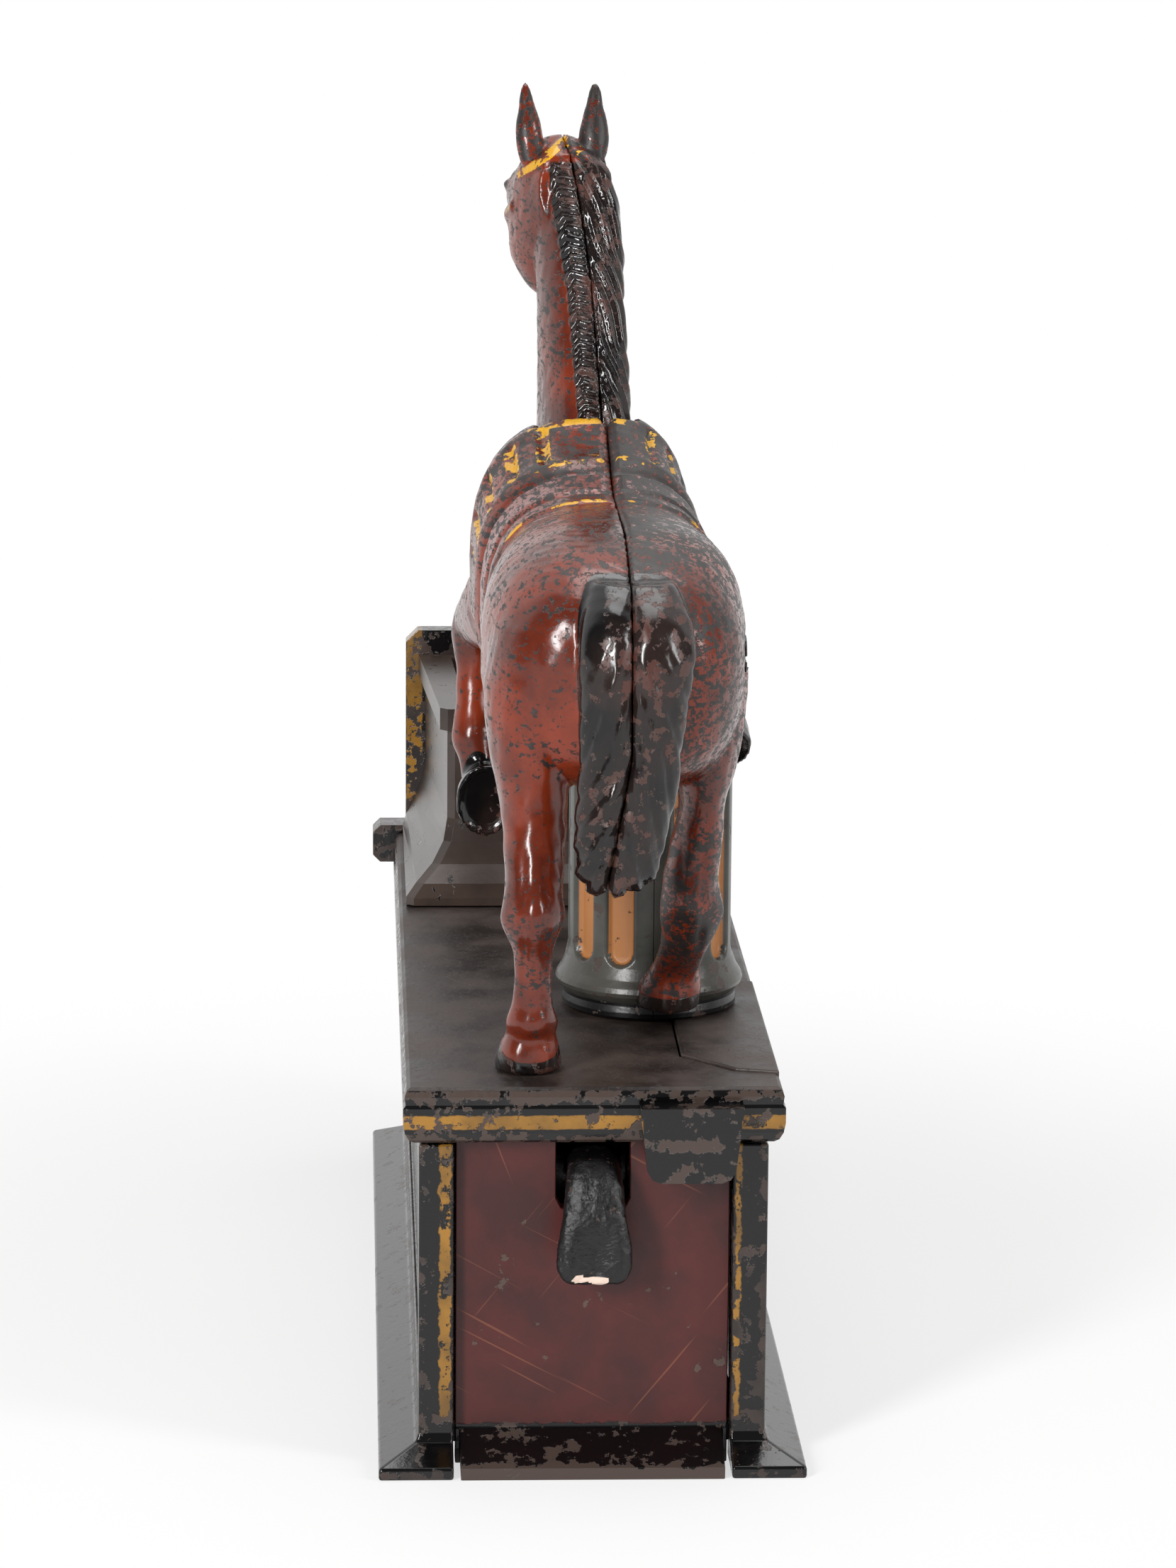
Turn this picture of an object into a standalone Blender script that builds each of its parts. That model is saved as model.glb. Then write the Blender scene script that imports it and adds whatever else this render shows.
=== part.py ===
"""Cast-iron coin bank: a horse that nods its coin into a manger when a thumb lever is pressed.

Sizes are in millimetres. X runs across the base, +Y is the way the horse faces, Z is up and the
origin is the middle of the base's foot. The figure is placed from its column and the deck, the lever
from the rear end and the manger from the front end.
"""

import math

import bmesh
import bpy
import numpy as np

MM = 0.001
SHARP_ANGLE = 35.0

# fits
GAP = 0.3
PIN_PLAY = 0.1

# base box
HORSE_ROOM = 110.9
MANGER_LENGTH = 58.9
BOX_WIDTH = 48.8
BASE_WALL = 3.0
POST_WIDTH = 4.9
POST_DEPTH = 5.3
SKIRT_OUT = 5.6
SKIRT_LIP = 1.7
SKIRT_TOP = 4.0
SIDE_HEIGHT = 47.1
PANEL_THICK = 2.8
PANEL_SET_BACK = 2.5
SIDE_RECESS = 0.8
SKIRT_GAP = 0.7
NOTCH_WIDTH = 10.4
NOTCH_DEPTH = 10.6

# deck
CORNICE_HEIGHT = 8.1
CORNICE_OUT = 2.2
CORNICE_OUT_REAR = 1.5
DECK_THICK = 3.5
FOOTPLATE_THICK = 2.0
LUG_WIDTH = 13.3
LUG_X = 13.4

# floor of the coin chamber
PLATE_BOTTOM = 2.0
PLATE_THICK = 3.2
DOOR_WIDTH = 25.4
DOOR_LENGTH = 37.4
DOOR_THICK = 2.2
DOOR_PIN_RADIUS = 0.8
DOOR_FROM_COLUMN = 82.0

# manger
TROUGH_WALL = 4.0
TROUGH_FLOOR = 8.5
TROUGH_FLOOR_THICK = 4.0
TROUGH_RIM = 30.5
BACKBOARD_THICK = 4.1
BACKBOARD_HEIGHT = 34.5
BACKBOARD_WIDTH = 49.0
EAR_OUT = 5.6
MANGER_SCREW_SETBACK = 10.0
DROP_SETBACK = 18.0
FLAP_WIDTH = 24.0
FLAP_LENGTH = 23.8
FLAP_PIN_FROM_FRONT = 14.9
FLAP_PIN_BELOW_FLOOR = 1.8
FLAP_CRANK = 11.0
FLAP_CRANK_LEAN = 11.0

# horse
HORSE_MIDDLE = 4.6
COLUMN_FROM_REAR = 47.9
COLUMN_X = 10.0
COLUMN_RADIUS = 12.0
COLUMN_BORE = 5.0
BODY_WALL = 2.8
NECK_HUB_RADIUS = 14.5
NECK_HUB_WIDTH = 14.0
NECK_CRANK = 10.2
NECK_CRANK_LEAN = 36.0
MOUTH_SLOT = 1.8

# mechanism
LEVER_FROM_REAR = 9.9
LEVER_BELOW_DECK = 14.5
LEVER_HUB_RADIUS = 4.0
LEVER_ARM_LEAN = 9.0
LINK_ARM = 24.05
LINK_ARM_X = -13.6
LINK_X = -16.15
LINK_THICK = 2.1
ROD_RADIUS = 1.6
ROD_FOOT = 2.2
ROD_BEND_ABOVE_DECK = 39.0
PIVOT_RADIUS = 1.5
SMALL_PIN_RADIUS = 1.25
SCREW_RADIUS = 1.5
BOLT_RADIUS = 1.9
SCREW_FROM_SIDE = 7.4
REAR_BOLT_FROM_SIDE = 12.4
REAR_BOLT_FROM_REAR = 18.9
FRONT_BOLT_FROM_COLUMN = 29.0
SPRING_RADIUS = 3.6
SPRING_WIRE = 0.7
SPRING_TURNS = 7

# places that follow from the sizes above
BOX_LENGTH = HORSE_ROOM + MANGER_LENGTH
Y_REAR = -BOX_LENGTH / 2
Y_FRONT = BOX_LENGTH / 2
X_BOX = BOX_WIDTH / 2
X_POST = X_BOX - POST_WIDTH
DECK_LOW = SIDE_HEIGHT + GAP
DECK_TOP = DECK_LOW + CORNICE_HEIGHT
DECK_UNDER = DECK_TOP - DECK_THICK
DECK_FRONT = Y_FRONT - PANEL_THICK - 0.1
PLATE_TOP = PLATE_BOTTOM + PLATE_THICK
COLUMN_Y = Y_REAR + COLUMN_FROM_REAR
LEVER_Y = Y_REAR + LEVER_FROM_REAR
LEVER_Z = DECK_TOP - LEVER_BELOW_DECK
LEVER_REACH = COLUMN_Y - LEVER_Y
MANGER_NEAR = Y_FRONT - MANGER_LENGTH
FLAP_PIN_Y = Y_FRONT - FLAP_PIN_FROM_FRONT
FLAP_PIN_Z = DECK_TOP + TROUGH_FLOOR - FLAP_PIN_BELOW_FLOOR


def srgb(red, green, blue):
    """A colour picked from the photo, 0 to 255, as linear values."""
    shares = np.array([red, green, blue]) / 255
    return tuple(np.where(shares <= 0.04045, shares / 12.92, ((shares + 0.055) / 1.055) ** 2.4))


OXIDE_RED = srgb(128, 54, 36)
WORN_IRON = srgb(75, 68, 65)
BLACK = srgb(28, 26, 26)
MAROON = srgb(85, 35, 32)
GREY_GREEN = srgb(58, 60, 54)
STEEL = srgb(120, 118, 114)


def mesh_object(name, points, faces):
    """A mesh object from points in millimetres, its faces turned outward."""
    mesh = bpy.data.meshes.new(name)
    mesh.from_pydata((np.asarray(points, float) * MM).tolist(), [], faces)
    work = bmesh.new()
    work.from_mesh(mesh)
    bmesh.ops.recalc_face_normals(work, faces=work.faces)
    work.to_mesh(mesh)
    work.free()
    thing = bpy.data.objects.new(name, mesh)
    bpy.context.scene.collection.objects.link(thing)
    return thing


def loft(name, rings):
    """Closed rings of equal length joined by quads, the two ends capped."""
    rings = np.asarray(rings, float)
    count, around = rings.shape[:2]
    faces = [list(range(around)), list(range((count - 1) * around, count * around))]
    for row in range(count - 1):
        for col in range(around):
            after = (col + 1) % around
            low = row * around
            faces.append([low + col, low + after, low + around + after, low + around + col])
    return mesh_object(name, rings.reshape(-1, 3), faces)


def box(name, x, y, z):
    """A box from three (low, high) pairs."""
    flat = [(x[0], y[0]), (x[1], y[0]), (x[1], y[1]), (x[0], y[1])]
    return prism(name, flat, "Z", z)


def prism(name, outline, axis, reach):
    """An outline pushed along an axis; its pairs are the other two axes in order."""
    rings = []
    for level in reach:
        if axis == "X":
            rings.append([(level, a, b) for a, b in outline])
        elif axis == "Y":
            rings.append([(a, level, b) for a, b in outline])
        else:
            rings.append([(a, b, level) for a, b in outline])
    return loft(name, rings)


def disc(centre, radius, sides=24, stretch=(1.0, 1.0)):
    """Outline of a circle or an ellipse in a plane."""
    turns = np.linspace(0, 2 * math.pi, sides, endpoint=False)
    across = centre[0] + radius * stretch[0] * np.cos(turns)
    along = centre[1] + radius * stretch[1] * np.sin(turns)
    return list(zip(across, along))


def stadium(start, end, radius, sides=8):
    """Outline of a bar with round ends."""
    lean = math.atan2(end[1] - start[1], end[0] - start[0])
    outline = []
    for centre, first in ((end, lean - math.pi / 2), (start, lean + math.pi / 2)):
        for turn in np.linspace(first, first + math.pi, sides + 1):
            outline.append((centre[0] + radius * math.cos(turn), centre[1] + radius * math.sin(turn)))
    return outline


def turned(name, foot, profile, sides=32):
    """A vertical turned shape from (radius, height) pairs."""
    rings = []
    for radius, height in profile:
        rings.append([(x, y, foot[2] + height) for x, y in disc(foot[:2], radius, sides)])
    return loft(name, rings)


def tube(name, path, radii, sides=12, across=(1.0, 0.0, 0.0)):
    """Ellipses of (side, depth) radii along a path, their sides kept square to `across`."""
    path = np.asarray(path, float)
    steps = np.gradient(path, axis=0)
    rings = []
    turns = np.linspace(0, 2 * math.pi, sides, endpoint=False)
    for point, step, (side, depth) in zip(path, steps, radii):
        along = step / np.linalg.norm(step)
        right = np.asarray(across) - along * np.dot(along, across)
        right = right / np.linalg.norm(right)
        out = np.cross(along, right)
        rings.append([point + right * side * math.cos(t) + out * depth * math.sin(t) for t in turns])
    return loft(name, rings)


def apply_boolean(target, tool, operation):
    """The exact Boolean of two objects, written into the first; the tool is removed."""
    step = target.modifiers.new(operation, "BOOLEAN")
    step.operation = operation
    step.solver = "EXACT"
    step.object = tool
    seen = target.evaluated_get(bpy.context.evaluated_depsgraph_get())
    result = bpy.data.meshes.new_from_object(seen)
    target.modifiers.clear()
    target.data = result
    bpy.data.objects.remove(tool)
    return target


def join(target, *tools):
    for tool in tools:
        apply_boolean(target, tool, "UNION")
    return target


def cut(target, *tools):
    for tool in tools:
        apply_boolean(target, tool, "DIFFERENCE")
    return target


def keep(target, tool):
    return apply_boolean(target, tool, "INTERSECT")


def finish(thing, name, colour, roughness, metallic=0.0, pivot=None):
    """Name, origin and own material of a finished piece."""
    thing.name = name
    thing.data.name = name
    if pivot is not None:
        place = np.asarray(pivot, float) * MM
        work = bmesh.new()
        work.from_mesh(thing.data)
        bmesh.ops.translate(work, verts=work.verts, vec=tuple(-place))
        work.to_mesh(thing.data)
        work.free()
        thing.location = tuple(place)
    paint = bpy.data.materials.new(name)
    paint.use_nodes = True
    shader = paint.node_tree.nodes["Principled BSDF"]
    shader.inputs["Base Color"].default_value = (*colour, 1.0)
    shader.inputs["Roughness"].default_value = roughness
    shader.inputs["Metallic"].default_value = metallic
    thing.data.materials.clear()
    thing.data.materials.append(paint)
    thing.data.shade_smooth()
    thing.data.set_sharp_from_angle(angle=math.radians(SHARP_ANGLE))
    return thing


def figure(x, y, z):
    """A point of the figure from its offset to the parting plane, the column and the deck."""
    return np.array([HORSE_MIDDLE + x, COLUMN_Y + y, DECK_TOP + z])


NECK_PIVOT = figure(-2.8, 43.0, 59.0)
BODY_SCREW = figure(0.0, -25.0, 56.5)
HOOF_SCREW = figure(-13.1, -37.3, 0.0)
FOOT_SCREW = (X_BOX - SCREW_FROM_SIDE, COLUMN_Y - 15.0)
REAR_BOLT = (X_BOX - REAR_BOLT_FROM_SIDE, Y_REAR + REAR_BOLT_FROM_REAR)
FRONT_BOLT = (X_BOX - SCREW_FROM_SIDE, COLUMN_Y + FRONT_BOLT_FROM_COLUMN)
MANGER_SCREWS = (X_BOX - SCREW_FROM_SIDE, MANGER_NEAR + MANGER_SCREW_SETBACK)
SPRING_SPOT = (4.5, LEVER_Y + LEVER_REACH / 2)
DOOR_PIN_Y = COLUMN_Y + DOOR_FROM_COLUMN
DOOR_PIN_Z = PLATE_BOTTOM + 1.5


def side_casting(name, side):
    """One long side: a plan like a C, its outer edge pushed out at the skirt."""
    rings = []
    for height, out in (
        (0.0, SKIRT_OUT),
        (SKIRT_LIP, SKIRT_OUT),
        (SKIRT_TOP, 0.4),
        (SKIRT_TOP + 1.2, 0.0),
        (SIDE_HEIGHT, 0.0),
    ):
        far = Y_FRONT + out
        near = Y_REAR - out
        inner = X_BOX - BASE_WALL
        ring = [
            (X_BOX + out, near),
            (X_BOX + out, far),
            (X_POST, far),
            (X_POST, Y_FRONT - POST_DEPTH),
            (inner, Y_FRONT - POST_DEPTH),
            (inner, Y_REAR + POST_DEPTH),
            (X_POST, Y_REAR + POST_DEPTH),
            (X_POST, near),
        ]
        rings.append([(side * x, y, height) for x, y in ring])
    casting = loft(name, rings)
    across = sorted((side * (X_BOX - SIDE_RECESS), side * (X_BOX + 1.0)))
    margin = POST_WIDTH + 3.0
    sunk = box("sunk", across, (Y_REAR + margin, Y_FRONT - margin), (SKIRT_TOP + 5.0, SIDE_HEIGHT - 5.0))
    cut(casting, sunk)
    return finish(casting, name, BLACK, 0.4)


def end_panel(name, end, notched):
    """An end panel between the posts with its own length of skirt, notched for the lever."""
    face = Y_FRONT - PANEL_SET_BACK
    back = face - PANEL_THICK
    skirt = Y_FRONT + SKIRT_OUT
    outline = [
        (back, 0.0),
        (skirt, 0.0),
        (skirt, SKIRT_LIP),
        (Y_FRONT, SKIRT_TOP),
        (face, SKIRT_TOP + 1.2),
        (face, SIDE_HEIGHT),
        (back, SIDE_HEIGHT),
    ]
    half = X_POST - GAP
    panel = prism(name, [(end * y, z) for y, z in outline], "X", (-half, half))
    if notched:
        reach = sorted((end * (back - 1.0), end * (face + 1.0)))
        low = SIDE_HEIGHT - NOTCH_DEPTH
        wide = NOTCH_WIDTH / 2
        right = [(wide - 2.2, low), (wide - 0.7, low + 0.7), (wide, low + 2.2), (wide, SIDE_HEIGHT + 1.0)]
        left = [(-x, z) for x, z in reversed(right)]
        cut(panel, prism("notch", right + left, "Y", reach))
    for edge in (-half, half):
        across = sorted((edge * 1.1, edge * (1 - SKIRT_GAP / half)))
        cut(panel, box("skirt_gap", across, sorted((end * (face + 0.3), end * (skirt + 1.0))), (-1.0, SKIRT_TOP + 2.0)))
    return finish(panel, name, MAROON, 0.45)


def footplate_outline(grow):
    """Plan of the right half's foot, flush in the deck, grown by a gap for its seat."""
    edge = X_BOX + CORNICE_OUT - 0.4
    return [
        (LUG_X - 0.4 - grow, COLUMN_Y - 16.0 + grow),
        (LUG_X - 0.4 - grow, COLUMN_Y - 31.8),
        (20.2 - grow, COLUMN_Y - 39.9 - grow),
        (edge + 2 * grow, COLUMN_Y - 41.5 - grow),
        (edge + 2 * grow, COLUMN_Y + 12.0 + grow),
        (LUG_X - 0.4 - grow, COLUMN_Y + 12.0 + grow),
    ]


def deck():
    """Top casting: an inverted tray with a cornice, bosses below and the mechanism's openings."""
    rings = []
    wide = X_BOX + CORNICE_OUT
    near = Y_REAR - CORNICE_OUT_REAR
    for height, inset in (
        (DECK_LOW, 1.5),
        (DECK_LOW + 0.5, 0.8),
        (DECK_LOW + 1.6, 0.25),
        (DECK_LOW + 3.0, 0.0),
        (DECK_TOP - 2.9, 0.0),
        (DECK_TOP - 2.5, 0.35),
        (DECK_TOP - 1.3, 0.2),
        (DECK_TOP - 0.4, 0.5),
        (DECK_TOP, 1.0),
    ):
        x = wide - inset
        y = near + inset
        rings.append([(-x, y, height), (x, y, height), (x, DECK_FRONT, height), (-x, DECK_FRONT, height)])
    plate = loft("deck", rings)
    inner = X_BOX - BASE_WALL - 0.5
    hollow_y = (Y_REAR + POST_DEPTH - 0.3, DECK_FRONT - 2.5)
    hollow = box("hollow", (-inner, inner), hollow_y, (DECK_LOW - 1.0, DECK_UNDER))
    cut(plate, hollow)

    half = LUG_WIDTH / 2
    lug = [
        (LUG_X - half - 0.6, DECK_TOP - 2.2),
        (LUG_X - half + 0.1, DECK_TOP - 8.0),
        (LUG_X - half + 0.5, DECK_TOP - 11.2),
        (LUG_X - half + 1.2, DECK_TOP - 12.4),
        (LUG_X - half + 2.4, DECK_TOP - 12.9),
        (LUG_X + half - 2.4, DECK_TOP - 12.9),
        (LUG_X + half - 1.2, DECK_TOP - 12.4),
        (LUG_X + half - 0.5, DECK_TOP - 11.2),
        (LUG_X + half - 0.1, DECK_TOP - 8.0),
        (LUG_X + half + 0.6, DECK_TOP - 2.2),
    ]
    join(plate, prism("lug", lug, "Y", (Y_REAR - 4.6, Y_REAR - 0.4)))

    for x, y in (REAR_BOLT, FRONT_BOLT):
        join(plate, turned("boss", (x, y, DECK_UNDER - 11.0), [(3.5, 0.0), (3.5, 12.0)], 20))
        cut(plate, turned("bore", (x, y, DECK_UNDER - 12.0), [(2.15, 0.0), (2.15, 11.5)], 20))
    for low, high in ((-18.2, -15.2), (5.4, 8.4)):
        ear = stadium((LEVER_Y, LEVER_Z), (LEVER_Y, DECK_UNDER - 2.4), 3.4)
        join(plate, prism("lever_ear", ear, "X", (low, high)))
        hole = disc((LEVER_Y, LEVER_Z), PIVOT_RADIUS + PIN_PLAY, 16)
        cut(plate, prism("hole", hole, "X", (low - 1, high + 1)))

    cut(plate, prism("seat", footplate_outline(GAP), "Z", (DECK_TOP - FOOTPLATE_THICK - GAP, DECK_TOP + 2)))
    cut(plate, turned("rod_hole", (COLUMN_X, COLUMN_Y, DECK_LOW), [(COLUMN_BORE, 0.0), (COLUMN_BORE, 12.0)], 24))
    drop_y = (MANGER_NEAR + DROP_SETBACK, DECK_FRONT - 2.5)
    cut(plate, box("drop", (-18.2, 14.0), drop_y, (DECK_LOW - 1.0, DECK_TOP + 2.0)))
    screw_spots = [HOOF_SCREW[:2], FOOT_SCREW, MANGER_SCREWS, (-MANGER_SCREWS[0], MANGER_SCREWS[1])]
    for x, y in screw_spots:
        hole = [(SCREW_RADIUS + PIN_PLAY, 0.0), (SCREW_RADIUS + PIN_PLAY, 12.0)]
        cut(plate, turned("screw_hole", (x, y, DECK_LOW), hole, 16))
    return finish(plate, "deck", WORN_IRON, 0.6, 0.3)


def bottom_plate():
    """Floor of the coin chamber, with knuckles for the coin door's pin."""
    inner = X_BOX - BASE_WALL - 0.5
    end = Y_REAR + PANEL_SET_BACK + PANEL_THICK + 0.6
    plate = box("bottom_plate", (-inner, inner), (end, -end), (PLATE_BOTTOM, PLATE_TOP))
    half = DOOR_WIDTH / 2 + GAP
    door_y = (DOOR_PIN_Y - DOOR_LENGTH - GAP + 1.7, DOOR_PIN_Y + 2.4)
    cut(plate, box("doorway", (-half, half), door_y, (0.0, 20.0)))
    for side in (-1, 1):
        reach = sorted((side * half, side * (half + 4.0)))
        join(plate, prism("knuckle", disc((DOOR_PIN_Y, DOOR_PIN_Z), 1.9, 16), "X", reach))
    bore = disc((DOOR_PIN_Y, DOOR_PIN_Z), DOOR_PIN_RADIUS + PIN_PLAY, 12)
    cut(plate, prism("pin_bore", bore, "X", (-half - 3.6, half + 3.6)))
    for x, y in (REAR_BOLT, FRONT_BOLT):
        cut(plate, turned("bolt_hole", (x, y, 0.0), [(2.15, 0.0), (2.15, 20.0)], 20))
    return finish(plate, "bottom_plate", BLACK, 0.55)


def tie_bolt(name, spot):
    """A slotted bolt up through the bottom plate into a boss of the deck."""
    profile = [(3.6, 0.0), (3.6, 1.4), (BOLT_RADIUS, 1.4), (BOLT_RADIUS, DECK_UNDER - 1.5)]
    bolt = turned(name, (*spot, PLATE_BOTTOM - 1.6), profile, 20)
    slot = box("slot", (spot[0] - 0.5, spot[0] + 0.5), (spot[1] - 6, spot[1] + 6), (0.0, PLATE_BOTTOM - 1.0))
    cut(bolt, slot)
    return finish(bolt, name, STEEL, 0.45, 0.8)


def coin_door():
    """Hatch in the floor, its knuckle on the front pin and a hole for the turning catch."""
    half = DOOR_WIDTH / 2
    low = PLATE_BOTTOM + 0.4
    near = DOOR_PIN_Y - DOOR_LENGTH + 1.7
    door = box("coin_door", (-half, half), (near, DOOR_PIN_Y), (low, low + DOOR_THICK))
    join(door, prism("knuckle", disc((DOOR_PIN_Y, DOOR_PIN_Z), 1.9, 16), "X", (-half, half)))
    cut(door, prism("bore", disc((DOOR_PIN_Y, DOOR_PIN_Z), DOOR_PIN_RADIUS + PIN_PLAY, 12), "X", (-half - 1, half + 1)))
    cut(door, turned("catch_hole", (0.0, near + 5.7, 0.0), [(2.3, 0.0), (2.3, 10.0)], 20))
    pin = prism("coin_door_pin", disc((DOOR_PIN_Y, DOOR_PIN_Z), DOOR_PIN_RADIUS, 12), "X", (-half - 3.3, half + 3.3))
    finish(pin, "coin_door_pin", STEEL, 0.4, 0.8)
    catch_foot = (0.0, near + 5.7, PLATE_BOTTOM - 1.2)
    profile = [(4.4, 0.0), (4.4, 1.2), (2.0, 1.2), (2.0, PLATE_THICK + 2.6)]
    catch = turned("coin_door_latch", catch_foot, profile, 20)
    tongue = stadium((0.0, near + 5.7), (6.6, near + 5.7), 2.4)
    join(catch, prism("tongue", tongue, "Z", (PLATE_TOP + GAP, PLATE_TOP + 1.5)))
    cut(catch, box("slot", (-6.0, 6.0), (near + 5.2, near + 6.2), (0.0, PLATE_BOTTOM - 0.7)))
    finish(catch, "coin_door_latch", STEEL, 0.4, 0.8, catch_foot)
    return finish(door, "coin_door", BLACK, 0.5, 0.0, (0.0, DOOR_PIN_Y, DOOR_PIN_Z))


def manger():
    """Trough with a coved foot, its floor opened for the flap, hollow below to the deck."""
    near = MANGER_NEAR
    far = DECK_FRONT
    shape = (
        (GAP, 25.0, 25.0, 0.0),
        (1.5, 25.0, 25.0, 0.0),
        (3.5, 23.4, 24.4, 1.6),
        (6.0, 20.8, 23.2, 4.6),
        (9.0, 19.0, 21.9, 7.4),
        (12.5, 18.4, 21.3, 8.6),
        (TROUGH_RIM - 4.0, 18.4, 21.3, 8.6),
        (TROUGH_RIM - 3.5, 19.6, 22.4, 7.4),
        (TROUGH_RIM, 19.6, 22.4, 7.4),
    )
    rings = []
    for height, half_near, half_far, set_back in shape:
        y = near + set_back
        z = DECK_TOP + height
        soft = 1.2
        rings.append(
            [
                (-half_near + soft, y, z),
                (half_near - soft, y, z),
                (half_near, y + soft, z),
                (half_far, far, z),
                (-half_far, far, z),
                (-half_near, y + soft, z),
            ]
        )
    trough = loft("manger", rings)
    floor = DECK_TOP + TROUGH_FLOOR
    under = floor - TROUGH_FLOOR_THICK
    rim = DECK_TOP + TROUGH_RIM
    inner_near = near + 8.6 + TROUGH_WALL
    inner_far = far - 3.0
    half = 18.4 - TROUGH_WALL + 0.3
    bowl = []
    for z, grow in ((floor, 0.0), (rim - 2.0, 0.7), (rim + 1.0, 1.0)):
        x = half + grow
        ring = [(-x, inner_near - grow), (x, inner_near - grow), (x + 1.4, inner_far), (-x - 1.4, inner_far)]
        bowl.append([(a, b, z) for a, b in ring])
    cut(trough, loft("bowl", bowl))
    cut(trough, box("below", (-17.5, 17.5), (inner_near + 0.5, inner_far), (DECK_TOP - 1.0, under)))

    flap_half = FLAP_WIDTH / 2 + 0.4
    hole_y = (FLAP_PIN_Y - FLAP_LENGTH - 0.7, FLAP_PIN_Y + 2.4)
    cut(trough, box("flap_hole", (-flap_half, flap_half), hole_y, (under - 1.0, floor + 1.0)))
    notch_y = (FLAP_PIN_Y - 7.0, FLAP_PIN_Y + 6.6)
    cut(trough, box("crank_notch", (-flap_half - 2.8, -flap_half + 1.0), notch_y, (under - 1.0, floor + 1.0)))
    bore = disc((FLAP_PIN_Y, FLAP_PIN_Z), 1.0 + PIN_PLAY, 12)
    cut(trough, prism("pin_bore", bore, "X", (-flap_half - 5.2, flap_half + 2.6)))
    for side in (-1, 1):
        foot = (side * MANGER_SCREWS[0], MANGER_SCREWS[1], DECK_TOP - 1.0)
        cut(trough, turned("screw_bore", foot, [(SCREW_RADIUS + PIN_PLAY, 0.0), (SCREW_RADIUS + PIN_PLAY, 6.6)], 16))
        hole = disc((side * 18.2, DECK_TOP + 18.5), SCREW_RADIUS + PIN_PLAY, 16)
        cut(trough, prism("board_bore", hole, "Y", (far - 8.0, far + 1.0)))
    return finish(trough, "manger", GREY_GREEN, 0.5)


def backboard():
    """Upright board at the front end, with a cornice bar whose ends stand out past the deck."""
    low = DECK_FRONT + GAP
    high = low + BACKBOARD_THICK
    half = BACKBOARD_WIDTH / 2
    top = DECK_TOP + BACKBOARD_HEIGHT
    outline = [
        (-half, DECK_LOW),
        (half, DECK_LOW),
        (half, top - 2.0),
        (half - 2.0, top),
        (-half + 2.0, top),
        (-half, top - 2.0),
    ]
    board = prism("manger_backboard", outline, "Y", (low, high))
    ear = X_BOX + EAR_OUT
    bar = [
        (-ear + 1.2, DECK_TOP - 5.0),
        (ear - 1.2, DECK_TOP - 5.0),
        (ear, DECK_TOP - 3.8),
        (ear, DECK_TOP + 0.1),
        (ear - 1.2, DECK_TOP + 1.3),
        (-ear + 1.2, DECK_TOP + 1.3),
        (-ear, DECK_TOP + 0.1),
        (-ear, DECK_TOP - 3.8),
    ]
    join(board, prism("bar", bar, "Y", (low, high + 2.1)))
    for side in (-1, 1):
        hole = disc((side * 18.2, DECK_TOP + 18.5), SCREW_RADIUS + PIN_PLAY, 16)
        cut(board, prism("hole", hole, "Y", (low - 1.0, high + 1.0)))
    finish(board, "manger_backboard", GREY_GREEN, 0.5)
    for side, name in ((-1, "backboard_screw_left"), (1, "backboard_screw_right")):
        centre = (side * 18.2, DECK_TOP + 18.5)
        head = prism(name, disc(centre, 2.7, 20), "Y", (high + 0.2, high + 1.6))
        join(head, prism("shank", disc(centre, SCREW_RADIUS, 16), "Y", (low - 7.6, high + 1.0)))
        slot = box("slot", (centre[0] - 5, centre[0] + 5), (high + 1.1, high + 3), (centre[1] - 0.4, centre[1] + 0.4))
        cut(head, slot)
        finish(head, name, STEEL, 0.45, 0.8)


def trough_flap():
    """Hinged floor of the trough; its crank hangs beside it and takes the link's pin."""
    half = FLAP_WIDTH / 2
    top = DECK_TOP + TROUGH_FLOOR - 0.2
    plate = box("trough_flap", (-half, half), (FLAP_PIN_Y - FLAP_LENGTH, FLAP_PIN_Y), (top - 1.8, top))
    join(plate, prism("barrel", disc((FLAP_PIN_Y, FLAP_PIN_Z), 1.9, 20), "X", (-half - 2.8, half)))
    lean = math.radians(FLAP_CRANK_LEAN)
    tip = (FLAP_PIN_Y - FLAP_CRANK * math.sin(lean), FLAP_PIN_Z - FLAP_CRANK * math.cos(lean))
    crank = stadium((FLAP_PIN_Y, FLAP_PIN_Z), tip, 2.3)
    join(plate, prism("crank", crank, "X", (-half - 2.8, -half - 0.6)))
    cut(plate, prism("bore", disc((FLAP_PIN_Y, FLAP_PIN_Z), 1.0 + PIN_PLAY, 12), "X", (-half - 4, half + 1)))
    cut(plate, prism("eye", disc(tip, SMALL_PIN_RADIUS + 0.1, 16), "X", (-half - 4, -half + 0.3)))
    finish(plate, "trough_flap", BLACK, 0.5, 0.0, (0.0, FLAP_PIN_Y, FLAP_PIN_Z))
    pin = prism("trough_flap_pin", disc((FLAP_PIN_Y, FLAP_PIN_Z), 1.0, 12), "X", (-half - 5.0, half + 2.6))
    finish(pin, "trough_flap_pin", STEEL, 0.4, 0.8)
    link_pin = prism("flap_link_pin", disc(tip, SMALL_PIN_RADIUS, 16), "X", (LINK_X - 1.6, -half - 0.5))
    finish(link_pin, "flap_link_pin", STEEL, 0.4, 0.8, (0.0, FLAP_PIN_Y, FLAP_PIN_Z))
    return tip


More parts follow.
